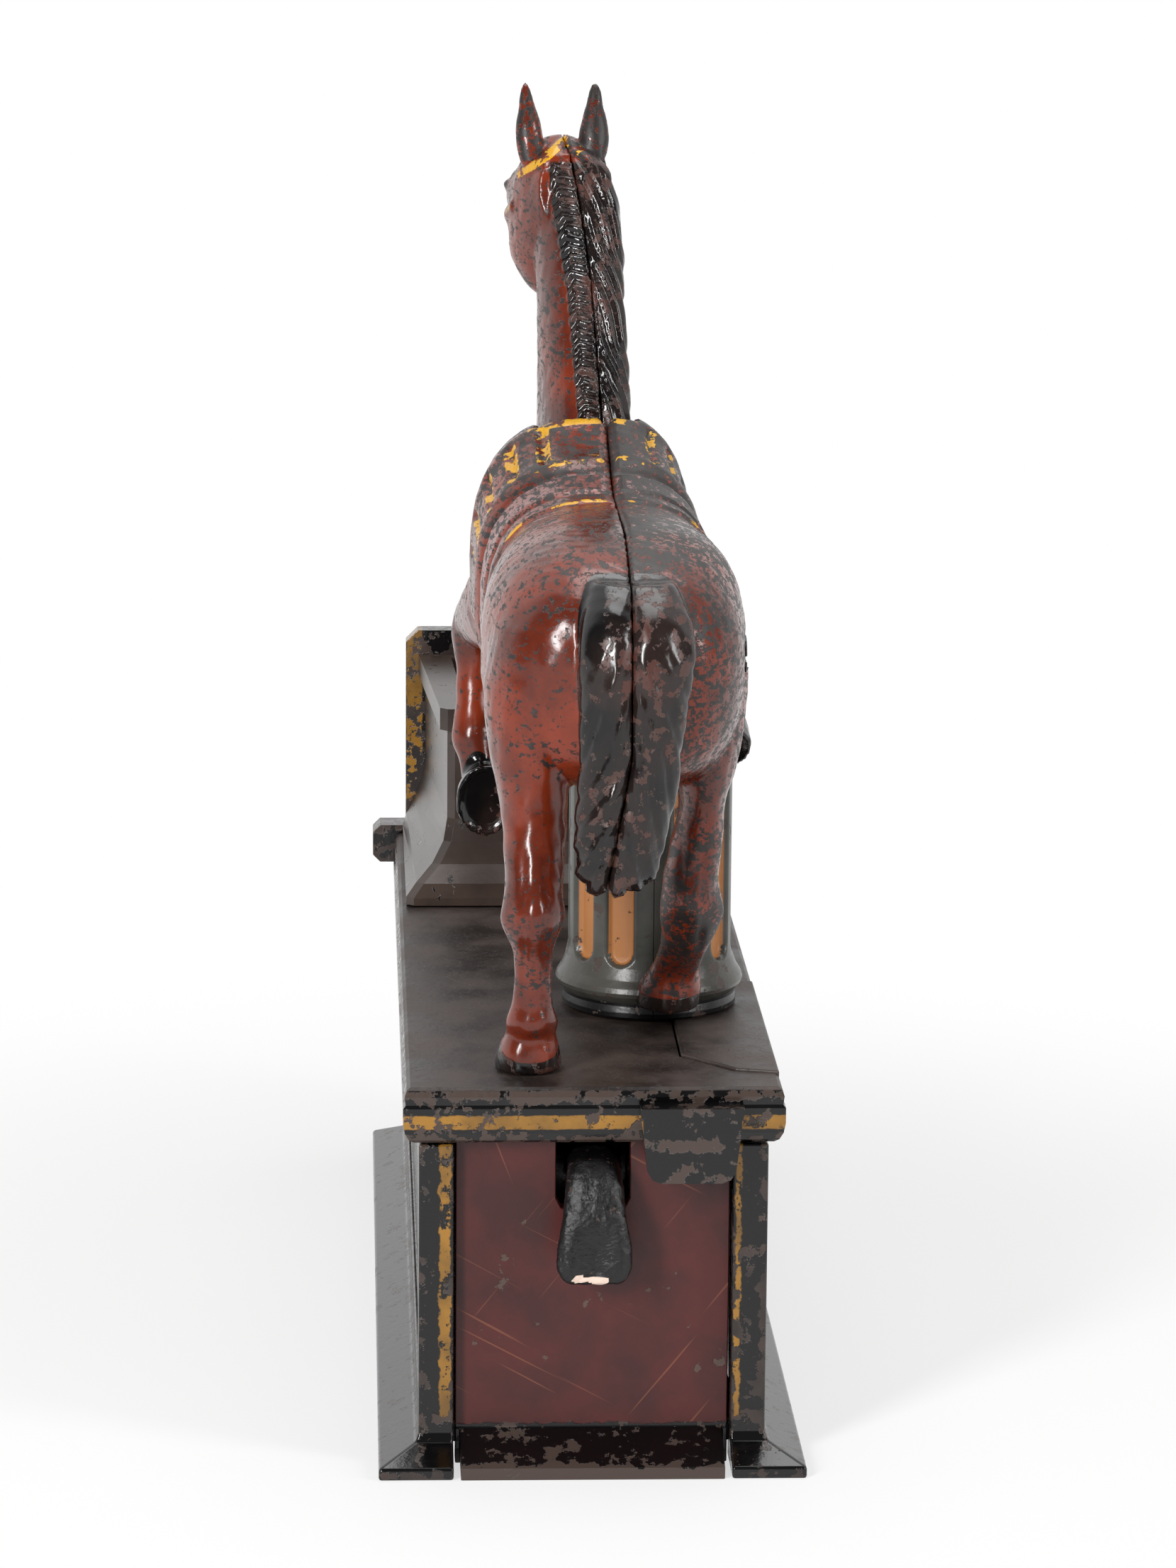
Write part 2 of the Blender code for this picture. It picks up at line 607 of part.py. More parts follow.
TORSO = (
    # y from the column, top, bottom, reach to the left, reach to the right
    (-46.0, 60.5, 50.5, 6.4, 5.6),
    (-43.0, 67.5, 43.5, 12.9, 11.1),
    (-35.0, 72.0, 39.5, 17.9, 15.6),
    (-23.0, 74.3, 38.0, 19.8, 17.4),
    (-11.0, 74.3, 38.0, 19.6, 17.4),
    (1.0, 74.0, 37.5, 18.4, 15.8),
    (13.0, 75.0, 37.5, 18.6, 14.8),
    (25.0, 78.6, 38.0, 19.4, 12.8),
    (37.0, 81.8, 39.0, 19.4, 11.8),
    (47.0, 79.2, 41.5, 17.4, 10.6),
    (54.0, 72.5, 45.5, 14.0, 8.8),
    (59.0, 64.5, 53.5, 9.0, 5.4),
)
LEFT_HIND_LEG = (
    # height, x, y, half width, half depth
    (62.5, -9.6, -29.0, 9.0, 14.0),
    (52.5, -11.6, -31.0, 8.2, 12.5),
    (44.5, -13.1, -33.0, 6.0, 10.0),
    (39.5, -13.0, -35.0, 5.0, 8.0),
    (34.5, -12.8, -37.5, 4.5, 6.2),
    (29.5, -12.9, -40.0, 4.2, 5.4),
    (24.5, -13.0, -42.5, 3.9, 4.8),
    (21.0, -13.2, -42.5, 3.5, 4.6),
    (16.5, -13.0, -41.5, 2.7, 3.4),
    (10.5, -13.1, -41.0, 2.8, 3.2),
    (7.4, -13.1, -40.0, 3.7, 3.9),
    (5.4, -13.2, -39.0, 3.5, 3.8),
    (3.4, -13.4, -38.0, 4.2, 5.0),
    (GAP, -13.6, -37.3, 4.9, 5.8),
)
RIGHT_HIND_LEG = (
    (54.5, 9.9, -23.0, 8.0, 13.0),
    (46.5, 10.9, -23.0, 6.4, 11.0),
    (40.5, 11.6, -23.5, 4.6, 8.5),
    (35.5, 11.4, -24.0, 3.3, 6.5),
    (29.5, 10.6, -25.0, 3.7, 5.6),
    (24.5, 9.8, -25.5, 3.9, 5.2),
    (19.5, 9.7, -25.0, 4.2, 4.6),
    (15.5, 9.6, -23.0, 3.7, 4.0),
    (12.0, 8.8, -20.0, 3.4, 3.6),
    (9.0, 8.1, -17.0, 3.7, 3.8),
    (6.5, 7.7, -15.0, 4.5, 5.0),
    (3.2, 7.4, -14.0, 4.6, 5.6),
)
TAIL = (
    # height, x, y, half width, half depth
    (69.5, 0.5, -40.5, 5.6, 3.4),
    (67.0, 0.7, -43.5, 6.5, 3.6),
    (64.0, 0.9, -46.0, 7.4, 3.7),
    (59.5, 0.9, -47.4, 7.6, 3.7),
    (50.3, 0.2, -47.6, 7.1, 3.5),
    (41.2, -0.4, -47.4, 6.7, 3.3),
    (36.5, -1.1, -47.2, 6.3, 3.1),
    (32.0, -1.4, -47.0, 5.7, 2.8),
    (29.7, -1.6, -46.9, 5.2, 2.5),
    (27.8, -1.8, -46.8, 3.4, 1.6),
)
FORELEGS = {
    "left": (
        ((-11.5, 39.0, 55.0), (-14.1, 46.0, 52.0), (-16.8, 56.0, 48.5), (-18.6, 64.0, 46.0)),
        (
            (-18.5, 63.6, 48.5),
            (-18.7, 64.4, 44.0),
            (-18.9, 63.6, 38.0),
            (-19.0, 62.3, 32.0),
            (-18.9, 61.2, 28.2),
            (-18.4, 59.9, 24.4),
            (-18.0, 58.8, 21.2),
        ),
    ),
    "right": (
        ((7.6, 39.0, 55.0), (10.6, 46.0, 52.5), (14.2, 57.0, 50.0), (16.4, 66.0, 48.8)),
        (
            (16.2, 65.4, 51.0),
            (16.8, 66.2, 47.0),
            (17.8, 65.0, 42.0),
            (18.8, 63.2, 37.0),
            (19.2, 61.2, 33.4),
            (19.5, 59.0, 30.6),
            (19.6, 55.6, 27.0),
        ),
    ),
}
FOREARM_RADII = ((7.0, 9.0), (6.6, 8.6), (5.0, 6.0), (3.6, 4.2))
SHANK_RADII = {
    "left": ((3.2, 2.6), (3.9, 4.2), (2.9, 3.2), (3.0, 3.2), (3.7, 3.8), (2.9, 3.1), (3.0, 3.2)),
    "right": ((3.2, 2.6), (3.9, 4.2), (2.9, 3.2), (3.2, 3.4), (3.0, 3.2), (4.0, 4.4), (4.7, 5.8)),
}
FOLDED_HOOF = ((-17.8, 59.8, 20.4), (-17.6, 57.6, 19.7), (-17.3, 54.4, 18.9))
FOLDED_HOOF_RADII = ((3.0, 3.6), (4.1, 5.1), (4.7, 6.2))
NECK = (
    # crest y, crest height, throat y, throat height, half width, x
    (33.0, 66.5, 55.5, 52.5, 6.6, -2.6),
    (37.5, 80.5, 59.0, 66.5, 6.6, -2.8),
    (41.0, 90.5, 59.5, 80.5, 6.4, -3.0),
    (44.5, 100.5, 59.0, 91.5, 6.1, -3.3),
    (48.0, 109.5, 60.0, 99.0, 6.2, -3.5),
    (51.5, 116.5, 63.0, 103.0, 6.0, -4.3),
    (55.0, 120.0, 66.0, 106.0, 5.0, -5.4),
)
HEAD = (
    # y, height, reach up, reach down, half width, x
    (53.0, 114.6, 5.2, 6.0, 4.2, -5.4),
    (59.5, 113.2, 9.2, 12.4, 6.4, -6.1),
    (65.0, 111.6, 7.8, 15.4, 7.2, -6.6),
    (71.0, 110.0, 6.4, 12.0, 6.4, -7.1),
    (77.0, 108.4, 5.2, 8.6, 5.2, -7.7),
    (82.5, 107.0, 5.0, 8.2, 5.3, -8.2),
    (86.0, 106.0, 3.6, 6.2, 4.3, -8.5),
)
SQUARENESS = 2.7


def rounded(turns, power=SQUARENESS):
    """Cosine and sine of a superellipse, fuller than a circle."""
    cosine = np.cos(turns)
    sine = np.sin(turns)
    lift = np.sign(cosine) * np.abs(cosine) ** (2 / power)
    side = np.sign(sine) * np.abs(sine) ** (2 / power)
    return lift, side


def torso_rings(inset=0.0, first=0, last=len(TORSO), around=24):
    """Whole sections of the body; an inset gives the hollow inside the wall."""
    turns = np.linspace(0, 2 * math.pi, around, endpoint=False)
    lift, side = rounded(turns)
    rings = []
    for y, top, low, left, right in TORSO[first:last]:
        middle = (top + low) / 2
        half = (top - low) / 2 - inset
        reach = np.where(side < 0, left - inset, right - inset)
        rings.append([figure(s * r, y, middle + half * c) for s, r, c in zip(side, reach, lift)])
    return rings


def leg_loft(name, stations, around=14):
    """A leg from level ellipses listed from the top down."""
    rings = []
    for height, x, y, half_x, half_y in stations:
        turns = np.linspace(0, 2 * math.pi, around, endpoint=False)
        rings.append([figure(x + half_x * math.cos(t), y + half_y * math.sin(t), height) for t in turns])
    return loft(name, rings)


def foreleg(name):
    """Forearm and shank meet in the knee; the left hoof is folded back on its shank."""
    forearm, shank = FORELEGS[name]
    upper = tube("forearm", [figure(*p) for p in forearm], FOREARM_RADII, 14)
    lower = tube("shank", [figure(*p) for p in shank], SHANK_RADII[name], 14)
    if name == "left":
        join(lower, tube("hoof", [figure(*p) for p in FOLDED_HOOF], FOLDED_HOOF_RADII, 16))
    return join(upper, lower)


FLUTE_TURNS = (24.0, 57.0, 90.0, 123.0, 156.0)


def column():
    """Column with a bell foot over a bead ring, its flutes alike on both sides of the seam."""
    profile = [
        (12.4, GAP),
        (12.8, 1.2),
        (12.6, 2.4),
        (12.7, 2.9),
        (13.6, 3.9),
        (13.6, 4.9),
        (12.9, 6.0),
        (12.2, 7.6),
        (COLUMN_RADIUS, 9.0),
        (COLUMN_RADIUS, 42.0),
    ]
    shaft = turned("column", (COLUMN_X, COLUMN_Y, DECK_TOP), profile, 40)
    rings = []
    for number in range(10):
        turn = math.radians(FLUTE_TURNS[number % 5])
        turn = -math.pi / 2 + (turn if number < 5 else -turn)
        reach = COLUMN_RADIUS + 1.0
        foot = (COLUMN_X + reach * math.cos(turn), COLUMN_Y + reach * math.sin(turn), DECK_TOP)
        ends = [(0.5, 7.8), (1.6, 8.4), (2.3, 9.8), (2.3, 33.0), (1.6, 34.4), (0.5, 35.0)]
        rings.append(turned("flute", foot, ends, 10))
    return cut(shaft, *rings)


def half_space(side, place, low=-20.0, high=260.0):
    """A large block on one side of an upright plane x = place."""
    reach = sorted((place, place + side * 90.0))
    return box("half_space", reach, (-160.0, 160.0), (low, high))


def neck_slot():
    """Room for the neck's hub and swing between the shoulders."""
    low = NECK_PIVOT[0] - NECK_HUB_WIDTH / 2 - 0.4
    high = NECK_PIVOT[0] + NECK_HUB_WIDTH / 2 + 0.4
    y, z = NECK_PIVOT[1:]
    room = prism("neck_slot", disc((y, z), NECK_HUB_RADIUS + 0.5, 40), "X", (low, high))
    join(room, box("above", (low, high), (y - 8.9, y + 40), (z, z + 60)))
    join(room, box("ahead", (low, high), (y, y + 40), (z - NECK_HUB_RADIUS - 0.5, z + 50)))
    return room


def tail_side(side):
    """The half of the tail on one side of its slanting seam."""
    whole = leg_loft("tail", TAIL, 16)
    edge = side * 0.15
    seam = [(edge, 90.0), (edge, 46.0), (edge - 3.0, 28.5), (edge - 3.0, 0.0)]
    outline = seam + [(side * 40.0, 0.0), (side * 40.0, 90.0)]
    points = [figure(x, 0.0, z) for x, z in outline]
    block = prism("tail_block", [(p[0], p[2]) for p in points], "Y", (-160.0, 160.0))
    return keep(whole, block)


def horse_half(side):
    """One body casting: half the body and tail, two legs and half the column."""
    name = "left" if side < 0 else "right"
    body = loft("body", torso_rings())
    keep(body, half_space(side, HORSE_MIDDLE + side * 0.15))
    hind = leg_loft("hind", LEFT_HIND_LEG if side < 0 else RIGHT_HIND_LEG)
    if side > 0:
        clear = prism("clear", disc((COLUMN_X, COLUMN_Y), COLUMN_RADIUS + 2.2, 32), "Z", (0.0, DECK_TOP + 37.5))
        hind = cut(hind, keep(clear, half_space(-1, COLUMN_X + 0.15)))
    post = keep(column(), half_space(side, COLUMN_X + side * 0.15))
    if side < 0:
        cut(post, half_space(1, HORSE_MIDDLE - 0.15, figure(0, 0, 37.1)[2]))
    join(body, hind, foreleg(name), tail_side(side))

    hollow = loft("hollow", torso_rings(BODY_WALL, 2, 8))
    cut(body, hollow)
    wall = HORSE_MIDDLE + side * 17.0
    bosses = sorted((HORSE_MIDDLE + side * 0.3, wall))
    join(body, prism("boss", disc(BODY_SCREW[1:], 3.8, 16), "X", bosses))
    join(body, post)
    if side > 0:
        plate_z = (DECK_TOP - FOOTPLATE_THICK, DECK_TOP + GAP + 0.2)
        join(body, prism("footplate", footplate_outline(0.0), "Z", plate_z))
    bore = turned("bore", (COLUMN_X, COLUMN_Y, 0.0), [(COLUMN_BORE, 0.0), (COLUMN_BORE, DECK_TOP + 50.0)], 24)
    cut(body, bore, neck_slot())
    window_x = (NECK_PIVOT[0] - 3.4, NECK_PIVOT[0] + 4.4)
    window_y = (NECK_PIVOT[1] - 20.0, NECK_PIVOT[1] - 6.0)
    cut(body, box("rod_window", window_x, window_y, (NECK_PIVOT[2] - 13.5, NECK_PIVOT[2] + 10.5)))
    pivot = disc(NECK_PIVOT[1:], PIVOT_RADIUS + PIN_PLAY, 16)
    cut(body, prism("pivot_bore", pivot, "X", (NECK_PIVOT[0] - 11.5, NECK_PIVOT[0] + 11.5)))
    if side < 0:
        blind = disc(BODY_SCREW[1:], SCREW_RADIUS + PIN_PLAY, 16)
        cut(body, prism("screw_bore", blind, "X", (HORSE_MIDDLE - 12.0, HORSE_MIDDLE + 2.0)))
        hoof = [(SCREW_RADIUS + PIN_PLAY, 0.0), (SCREW_RADIUS + PIN_PLAY, 6.4)]
        cut(body, turned("hoof_bore", (*HOOF_SCREW[:2], DECK_TOP - 1.0), hoof, 16))
    else:
        through = disc(BODY_SCREW[1:], SCREW_RADIUS + PIN_PLAY, 16)
        cut(body, prism("screw_bore", through, "X", (HORSE_MIDDLE - 1.0, HORSE_MIDDLE + 30.0)))
        sink = disc(BODY_SCREW[1:], 3.4, 20)
        cut(body, prism("sink", sink, "X", (HORSE_MIDDLE + 15.4, HORSE_MIDDLE + 30.0)))
        plate = [(SCREW_RADIUS + PIN_PLAY, 0.0), (SCREW_RADIUS + PIN_PLAY, FOOTPLATE_THICK + 0.6)]
        cut(body, turned("plate_bore", (*FOOT_SCREW, DECK_TOP - FOOTPLATE_THICK - 1.0), plate, 16))
    return finish(body, f"horse_{name}_half", OXIDE_RED, 0.4)


def head_rings(around=16):
    """Sections of the head square to its axis."""
    turns = np.linspace(0, 2 * math.pi, around, endpoint=False)
    lift, side = rounded(turns, 2.2)
    rings = []
    for y, height, up, down, half, x in HEAD:
        lean = math.radians(15.0)
        ring = []
        for c, s in zip(lift, side):
            rise = c * (up if c > 0 else down)
            ring.append(figure(x + s * half, y + rise * math.sin(lean), height + rise * math.cos(lean)))
        rings.append(ring)
    return rings


def neck_rings(around=16):
    """Sections of the neck from crest to throat."""
    turns = np.linspace(0, 2 * math.pi, around, endpoint=False)
    lift, side = rounded(turns, 2.4)
    rings = []
    for crest_y, crest_z, throat_y, throat_z, half, x in NECK:
        ring = []
        for c, s in zip(lift, side):
            share = (1 + c) / 2
            skew = 1.6 * c
            y = throat_y + (crest_y - throat_y) * share
            z = throat_z + (crest_z - throat_z) * share
            ring.append(figure(x + skew + s * half, y, z))
        rings.append(ring)
    return rings


def ear(name, foot, tip, wide):
    """A pointed ear, a cone flattened from front to back."""
    path = [np.asarray(foot) + (np.asarray(tip) - np.asarray(foot)) * t for t in (0.0, 0.35, 0.7, 1.0)]
    radii = [(wide, 1.7), (wide * 0.95, 1.5), (wide * 0.62, 1.1), (0.35, 0.35)]
    return tube(name, [figure(*p) for p in path], radii, 10)


NECK_SEAM = (
    # y, x of the parting between the neck's halves
    (-20.0, 1.2),
    (34.0, 0.1),
    (39.0, -0.6),
    (45.0, -1.9),
    (52.0, -4.2),
    (57.0, -5.3),
    (86.0, -8.4),
    (112.0, -11.2),
)


def neck_half(side):
    """One half of the nodding neck and head, parted along the crest's lean and the head's turn."""
    name = "left" if side < 0 else "right"
    whole = loft("neck", neck_rings())
    x, y, z = NECK_PIVOT
    reach = (x - NECK_HUB_WIDTH / 2, x + NECK_HUB_WIDTH / 2)
    join(whole, prism("hub", disc((y, z), NECK_HUB_RADIUS, 40), "X", reach))
    join(whole, loft("head", head_rings()))
    join(whole, ear("ear", (-10.6, 58.6, 117.6), (-11.6, 62.0, 130.0), 1.6))
    join(whole, ear("ear", (-1.1, 58.6, 117.6), (-0.8, 62.0, 130.0), 1.9))
    seam = [figure(across + side * 0.15, along, 0.0)[:2] for along, across in NECK_SEAM]
    outline = seam + [(x + side * 60.0, seam[-1][1]), (x + side * 60.0, seam[0][1])]
    keep(whole, prism("seam", outline, "Z", (0.0, 260.0)))

    mouth = figure(-7.6, 84.0, 103.2)
    lean = math.radians(-15.0)
    slit = []
    for along, rise in ((-5.0, -0.5), (8.0, -0.5), (8.0, 0.5), (-5.0, 0.5)):
        up = rise * MOUTH_SLOT
        a = mouth[1] + along * math.cos(lean) - up * math.sin(lean)
        b = mouth[2] + along * math.sin(lean) + up * math.cos(lean)
        slit.append((a, b))
    cut(whole, prism("mouth", slit, "X", (x - 40.0, x + 40.0)))
    pivot = disc((y, z), PIVOT_RADIUS + PIN_PLAY, 16)
    cut(whole, prism("pivot_bore", pivot, "X", (x - 20.0, x + 20.0)))
    crank = crank_pin_spot()
    cut(whole, prism("crank_bore", disc(crank, SMALL_PIN_RADIUS + 0.1, 16), "X", (x - 5.6, x + 5.6)))
    if side < 0:
        channel = box("channel", (x - 2.7, x + 9.0), (y - 17.0, y - 3.2), (z - 17.0, z - 1.2))
        cut(whole, channel)
    for spot in neck_rivet_spots():
        rivet = disc(spot[1:], 1.1, 12)
        cut(whole, prism("rivet_bore", rivet, "X", (spot[0] - 3.6, spot[0] + 3.6)))
    return finish(whole, f"neck_{name}_half", OXIDE_RED, 0.4, 0.0, NECK_PIVOT)


def crank_pin_spot():
    """Crank pin behind and below the neck's pivot at rest."""
    lean = math.radians(NECK_CRANK_LEAN)
    return (NECK_PIVOT[1] - NECK_CRANK * math.cos(lean), NECK_PIVOT[2] - NECK_CRANK * math.sin(lean))


def neck_rivet_spots():
    """Two blind dowel rivets across the neck's seam."""
    return figure(-3.2, 51.0, 86.0), figure(-6.2, 68.0, 109.0)


def neck_fasteners():
    """Pivot pin, crank pin and the rivets that hold the neck's halves together."""
    x, y, z = NECK_PIVOT
    pivot = prism("neck_pivot_pin", disc((y, z), PIVOT_RADIUS, 16), "X", (x - 11.2, x + 11.2))
    finish(pivot, "neck_pivot_pin", STEEL, 0.4, 0.8)
    crank = prism("neck_crank_pin", disc(crank_pin_spot(), SMALL_PIN_RADIUS, 16), "X", (x - 5.4, x + 5.4))
    finish(crank, "neck_crank_pin", STEEL, 0.4, 0.8, NECK_PIVOT)
    for name, spot in zip(("neck_rivet_lower", "neck_rivet_upper"), neck_rivet_spots()):
        rivet = prism(name, disc(spot[1:], 1.0, 12), "X", (spot[0] - 3.4, spot[0] + 3.4))
        finish(rivet, name, STEEL, 0.4, 0.8, NECK_PIVOT)


def screws():
    """Body screw across the horse and the screws that come up through the deck."""
    head = prism("body_screw", disc(BODY_SCREW[1:], 3.0, 20), "X", (HORSE_MIDDLE + 15.7, HORSE_MIDDLE + 17.3))
    shank = disc(BODY_SCREW[1:], SCREW_RADIUS, 16)
    join(head, prism("shank", shank, "X", (HORSE_MIDDLE - 11.6, HORSE_MIDDLE + 16.5)))
    slot_y = (BODY_SCREW[1] - 6, BODY_SCREW[1] + 6)
    slot_z = (BODY_SCREW[2] - 0.4, BODY_SCREW[2] + 0.4)
    cut(head, box("slot", (HORSE_MIDDLE + 16.8, HORSE_MIDDLE + 19.0), slot_y, slot_z))
    finish(head, "body_screw", STEEL, 0.45, 0.8)
    tops = {
        "deck_screw_left": (HOOF_SCREW[:2], DECK_TOP + 5.0),
        "deck_screw_right": (FOOT_SCREW, DECK_TOP - 0.8),
        "manger_screw_left": ((-MANGER_SCREWS[0], MANGER_SCREWS[1]), DECK_TOP + 5.2),
        "manger_screw_right": (MANGER_SCREWS, DECK_TOP + 5.2),
    }
    for name, (spot, top) in tops.items():
        foot = (*spot, DECK_UNDER - 1.7)
        profile = [(2.9, 0.0), (2.9, 1.4), (SCREW_RADIUS, 1.4), (SCREW_RADIUS, top - foot[2])]
        screw = turned(name, foot, profile, 16)
        cut(screw, box("slot", (spot[0] - 0.4, spot[0] + 0.4), (spot[1] - 5, spot[1] + 5), (foot[2] - 1, foot[2] + 0.5)))
        finish(screw, name, STEEL, 0.45, 0.8)


def lever():
    """Thumb lever: a curved tongue outside, a rod arm and a link arm inside."""
    hub = prism("lever", disc((LEVER_Y, LEVER_Z), LEVER_HUB_RADIUS, 28), "X", (-14.8, 5.0))
    # y from the rear face of the box, z from the pivot, half width, half thickness
    tongue = (
        (9.0, 0.9, 3.6, 2.6),
        (2.0, 2.4, 3.7, 2.4),
        (-1.2, 0.8, 4.0, 2.2),
        (-3.2, -3.6, 4.5, 1.9),
        (-3.9, -8.6, 5.3, 1.5),
        (-4.0, -11.6, 5.0, 1.3),
        (-3.9, -12.9, 3.0, 0.9),
    )
    path = [(0.0, Y_REAR + y, LEVER_Z + z) for y, z, _, _ in tongue]
    radii = [(half, thick) for _, _, half, thick in tongue]
    join(hub, tube("tongue", path, radii, 14))

    lean = math.radians(LEVER_ARM_LEAN)
    drop = LEVER_REACH * math.tan(lean)
    rings = []
    for share, half, low, high in ((0.0, 3.4, 2.6, 2.6), (0.55, 2.6, 2.2, 2.0), (1.0, 3.4, 2.0, 0.9)):
        x = COLUMN_X * share
        y = LEVER_Y + LEVER_REACH * share
        z = LEVER_Z - drop * share
        rings.append([(x - half, y, z - low), (x + half, y, z - low), (x + half, y, z + high), (x - half, y, z + high)])
    join(hub, loft("rod_arm", rings))
    pad = (COLUMN_X, COLUMN_Y, LEVER_Z - drop - 2.2)
    join(hub, turned("pad", pad, [(4.4, 0.0), (4.4, 4.2)], 20))
    link_end = (LEVER_Y, LEVER_Z - LINK_ARM)
    across = (LINK_ARM_X - 1.2, LINK_ARM_X + 1.2)
    join(hub, prism("link_arm", stadium((LEVER_Y, LEVER_Z), link_end, 3.0), "X", across))
    cut(hub, prism("bore", disc((LEVER_Y, LEVER_Z), PIVOT_RADIUS + PIN_PLAY, 16), "X", (-20.0, 10.0)))
    cut(hub, prism("eye", disc(link_end, SMALL_PIN_RADIUS + 0.1, 16), "X", (-20.0, 0.0)))
    pivot = (0.0, LEVER_Y, LEVER_Z)
    finish(hub, "lever", BLACK, 0.3, 0.0, pivot)
    pin = prism("lever_pivot_pin", disc((LEVER_Y, LEVER_Z), PIVOT_RADIUS, 16), "X", (-18.4, 8.6))
    finish(pin, "lever_pivot_pin", STEEL, 0.4, 0.8)
    link_pin = prism("lever_link_pin", disc(link_end, SMALL_PIN_RADIUS, 16), "X", (LINK_X - 1.6, LINK_ARM_X + 1.4))
    finish(link_pin, "lever_link_pin", STEEL, 0.4, 0.8, pivot)
    return link_end, pad[2] + 4.2


def flap_link(start, end):
    """Flat bar from the lever to the flap, its eyes slotted square to the bar's travel."""
    bar = prism("flap_link", stadium(start, end, 2.3), "X", (LINK_X - LINK_THICK / 2, LINK_X + LINK_THICK / 2))
    lean = math.radians(LEVER_ARM_LEAN)
    rise = (-math.sin(lean) * 0.9, math.cos(lean) * 0.9)
    for spot in (start, end):
        eye = prism("eye", disc(spot, 3.8, 20), "X", (LINK_X - LINK_THICK / 2, LINK_X + LINK_THICK / 2))
        join(bar, eye)
    for spot in (start, end):
        low = (spot[0] - rise[0], spot[1] - rise[1])
        high = (spot[0] + rise[0], spot[1] + rise[1])
        cut(bar, prism("slot", stadium(low, high, SMALL_PIN_RADIUS + PIN_PLAY), "X", (LINK_X - 4, LINK_X + 4)))
    return finish(bar, "flap_link", STEEL, 0.5, 0.7, (LINK_X, *start))


def push_rod(foot_z):
    """Rod up the column's bore, bent forward to a slotted eye on the neck's crank pin."""
    y, z = crank_pin_spot()
    x = NECK_PIVOT[0]
    foot = (COLUMN_X, COLUMN_Y, foot_z + GAP)
    turns = np.radians([-85, -60, -35, -10, 20, 50])
    ball = [(ROD_FOOT * math.cos(t), ROD_FOOT * (1 + math.sin(t))) for t in turns]
    rod = turned("push_rod", foot, ball, 16)
    top = DECK_TOP + ROD_BEND_ABOVE_DECK
    path = [
        (COLUMN_X, COLUMN_Y, foot[2] + ROD_FOOT),
        (COLUMN_X, COLUMN_Y, top),
        (COLUMN_X - 0.5, COLUMN_Y + 1.6, top + 2.6),
        (x + 0.6, y - 14.0, z - 2.2),
        (x, y - 8.5, z),
        (x, y - 4.6, z),
    ]
    radii = [(ROD_RADIUS, ROD_RADIUS)] * 4 + [(1.4, 1.5), (1.4, 1.5)]
    join(rod, tube("stem", path, radii, 12, (1.0, 0.0, 0.0)))
    join(rod, prism("eye", stadium((y - 3.4, z), (y, z), 3.0), "X", (x - 1.5, x + 1.5)))
    slot = stadium((y - 2.2, z), (y + 0.2, z), SMALL_PIN_RADIUS + 0.35)
    cut(rod, prism("slot", slot, "X", (x - 4, x + 4)))
    return finish(rod, "push_rod", STEEL, 0.45, 0.7, foot)


def return_spring():
    """Coil between the bottom plate and the lever's rod arm."""
    share = (SPRING_SPOT[1] - LEVER_Y) / LEVER_REACH
    arm = LEVER_Z - LEVER_REACH * math.tan(math.radians(LEVER_ARM_LEAN)) * share - 2.4
    low = PLATE_TOP + SPRING_WIRE + 0.1
    high = arm - SPRING_WIRE - 0.9
    steps = SPRING_TURNS * 14
    rings = []
    for step in range(steps + 1):
        turn = 2 * math.pi * SPRING_TURNS * step / steps
        out = np.array([math.cos(turn), math.sin(turn), 0.0])
        centre = np.array([*SPRING_SPOT, low + (high - low) * step / steps]) + out * SPRING_RADIUS
        ring = []
        for side in np.linspace(0, 2 * math.pi, 6, endpoint=False):
            ring.append(centre + SPRING_WIRE * (out * math.cos(side) + np.array([0, 0, math.sin(side)])))
        rings.append(ring)
    return finish(loft("return_spring", rings), "return_spring", STEEL, 0.35, 0.9, (*SPRING_SPOT, low))


def build():
    for thing in list(bpy.data.objects):
        bpy.data.objects.remove(thing)
    side_casting("base_left_side", -1)
    side_casting("base_right_side", 1)
    end_panel("base_rear_panel", -1, True)
    end_panel("base_front_panel", 1, False)
    deck()
    bottom_plate()
    tie_bolt("tie_bolt_rear", REAR_BOLT)
    tie_bolt("tie_bolt_front", FRONT_BOLT)
    coin_door()
    manger()
    backboard()
    flap_tip = trough_flap()
    horse_half(-1)
    horse_half(1)
    neck_half(-1)
    neck_half(1)
    neck_fasteners()
    screws()
    link_start, pad_top = lever()
    flap_link(link_start, flap_tip)
    push_rod(pad_top)
    return_spring()


build()
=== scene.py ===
"""Finishes for a cast-iron coin bank: a horse that nods its coin into a manger.

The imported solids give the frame. The castings with flowing shapes are worked out again as fine
surfaces over their solids, and the plain castings keep their solids with rounded edges and worn paint.
Lengths below are in millimetres, in the frame of the solids, unless a property says otherwise.
"""

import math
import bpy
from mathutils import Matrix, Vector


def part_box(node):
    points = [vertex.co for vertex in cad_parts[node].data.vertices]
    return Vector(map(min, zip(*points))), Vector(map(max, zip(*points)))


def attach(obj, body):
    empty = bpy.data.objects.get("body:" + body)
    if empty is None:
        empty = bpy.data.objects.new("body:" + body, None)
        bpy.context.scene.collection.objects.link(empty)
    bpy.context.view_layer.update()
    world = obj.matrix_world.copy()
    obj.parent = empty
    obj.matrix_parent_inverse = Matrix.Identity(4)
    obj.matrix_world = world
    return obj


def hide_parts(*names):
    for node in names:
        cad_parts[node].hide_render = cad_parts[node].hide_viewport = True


bl_info = {
    "name": "Nodding horse coin bank",
    "version": (1, 0, 0),
    "blender": (4, 5, 0),
    "location": "View3D > Sidebar > Coin Bank",
    "description": "Builds the painted castings of a nodding horse coin bank over its packed solids",
    "category": "Object",
}

import bmesh
import bpy
import numpy as np
from mathutils import Matrix

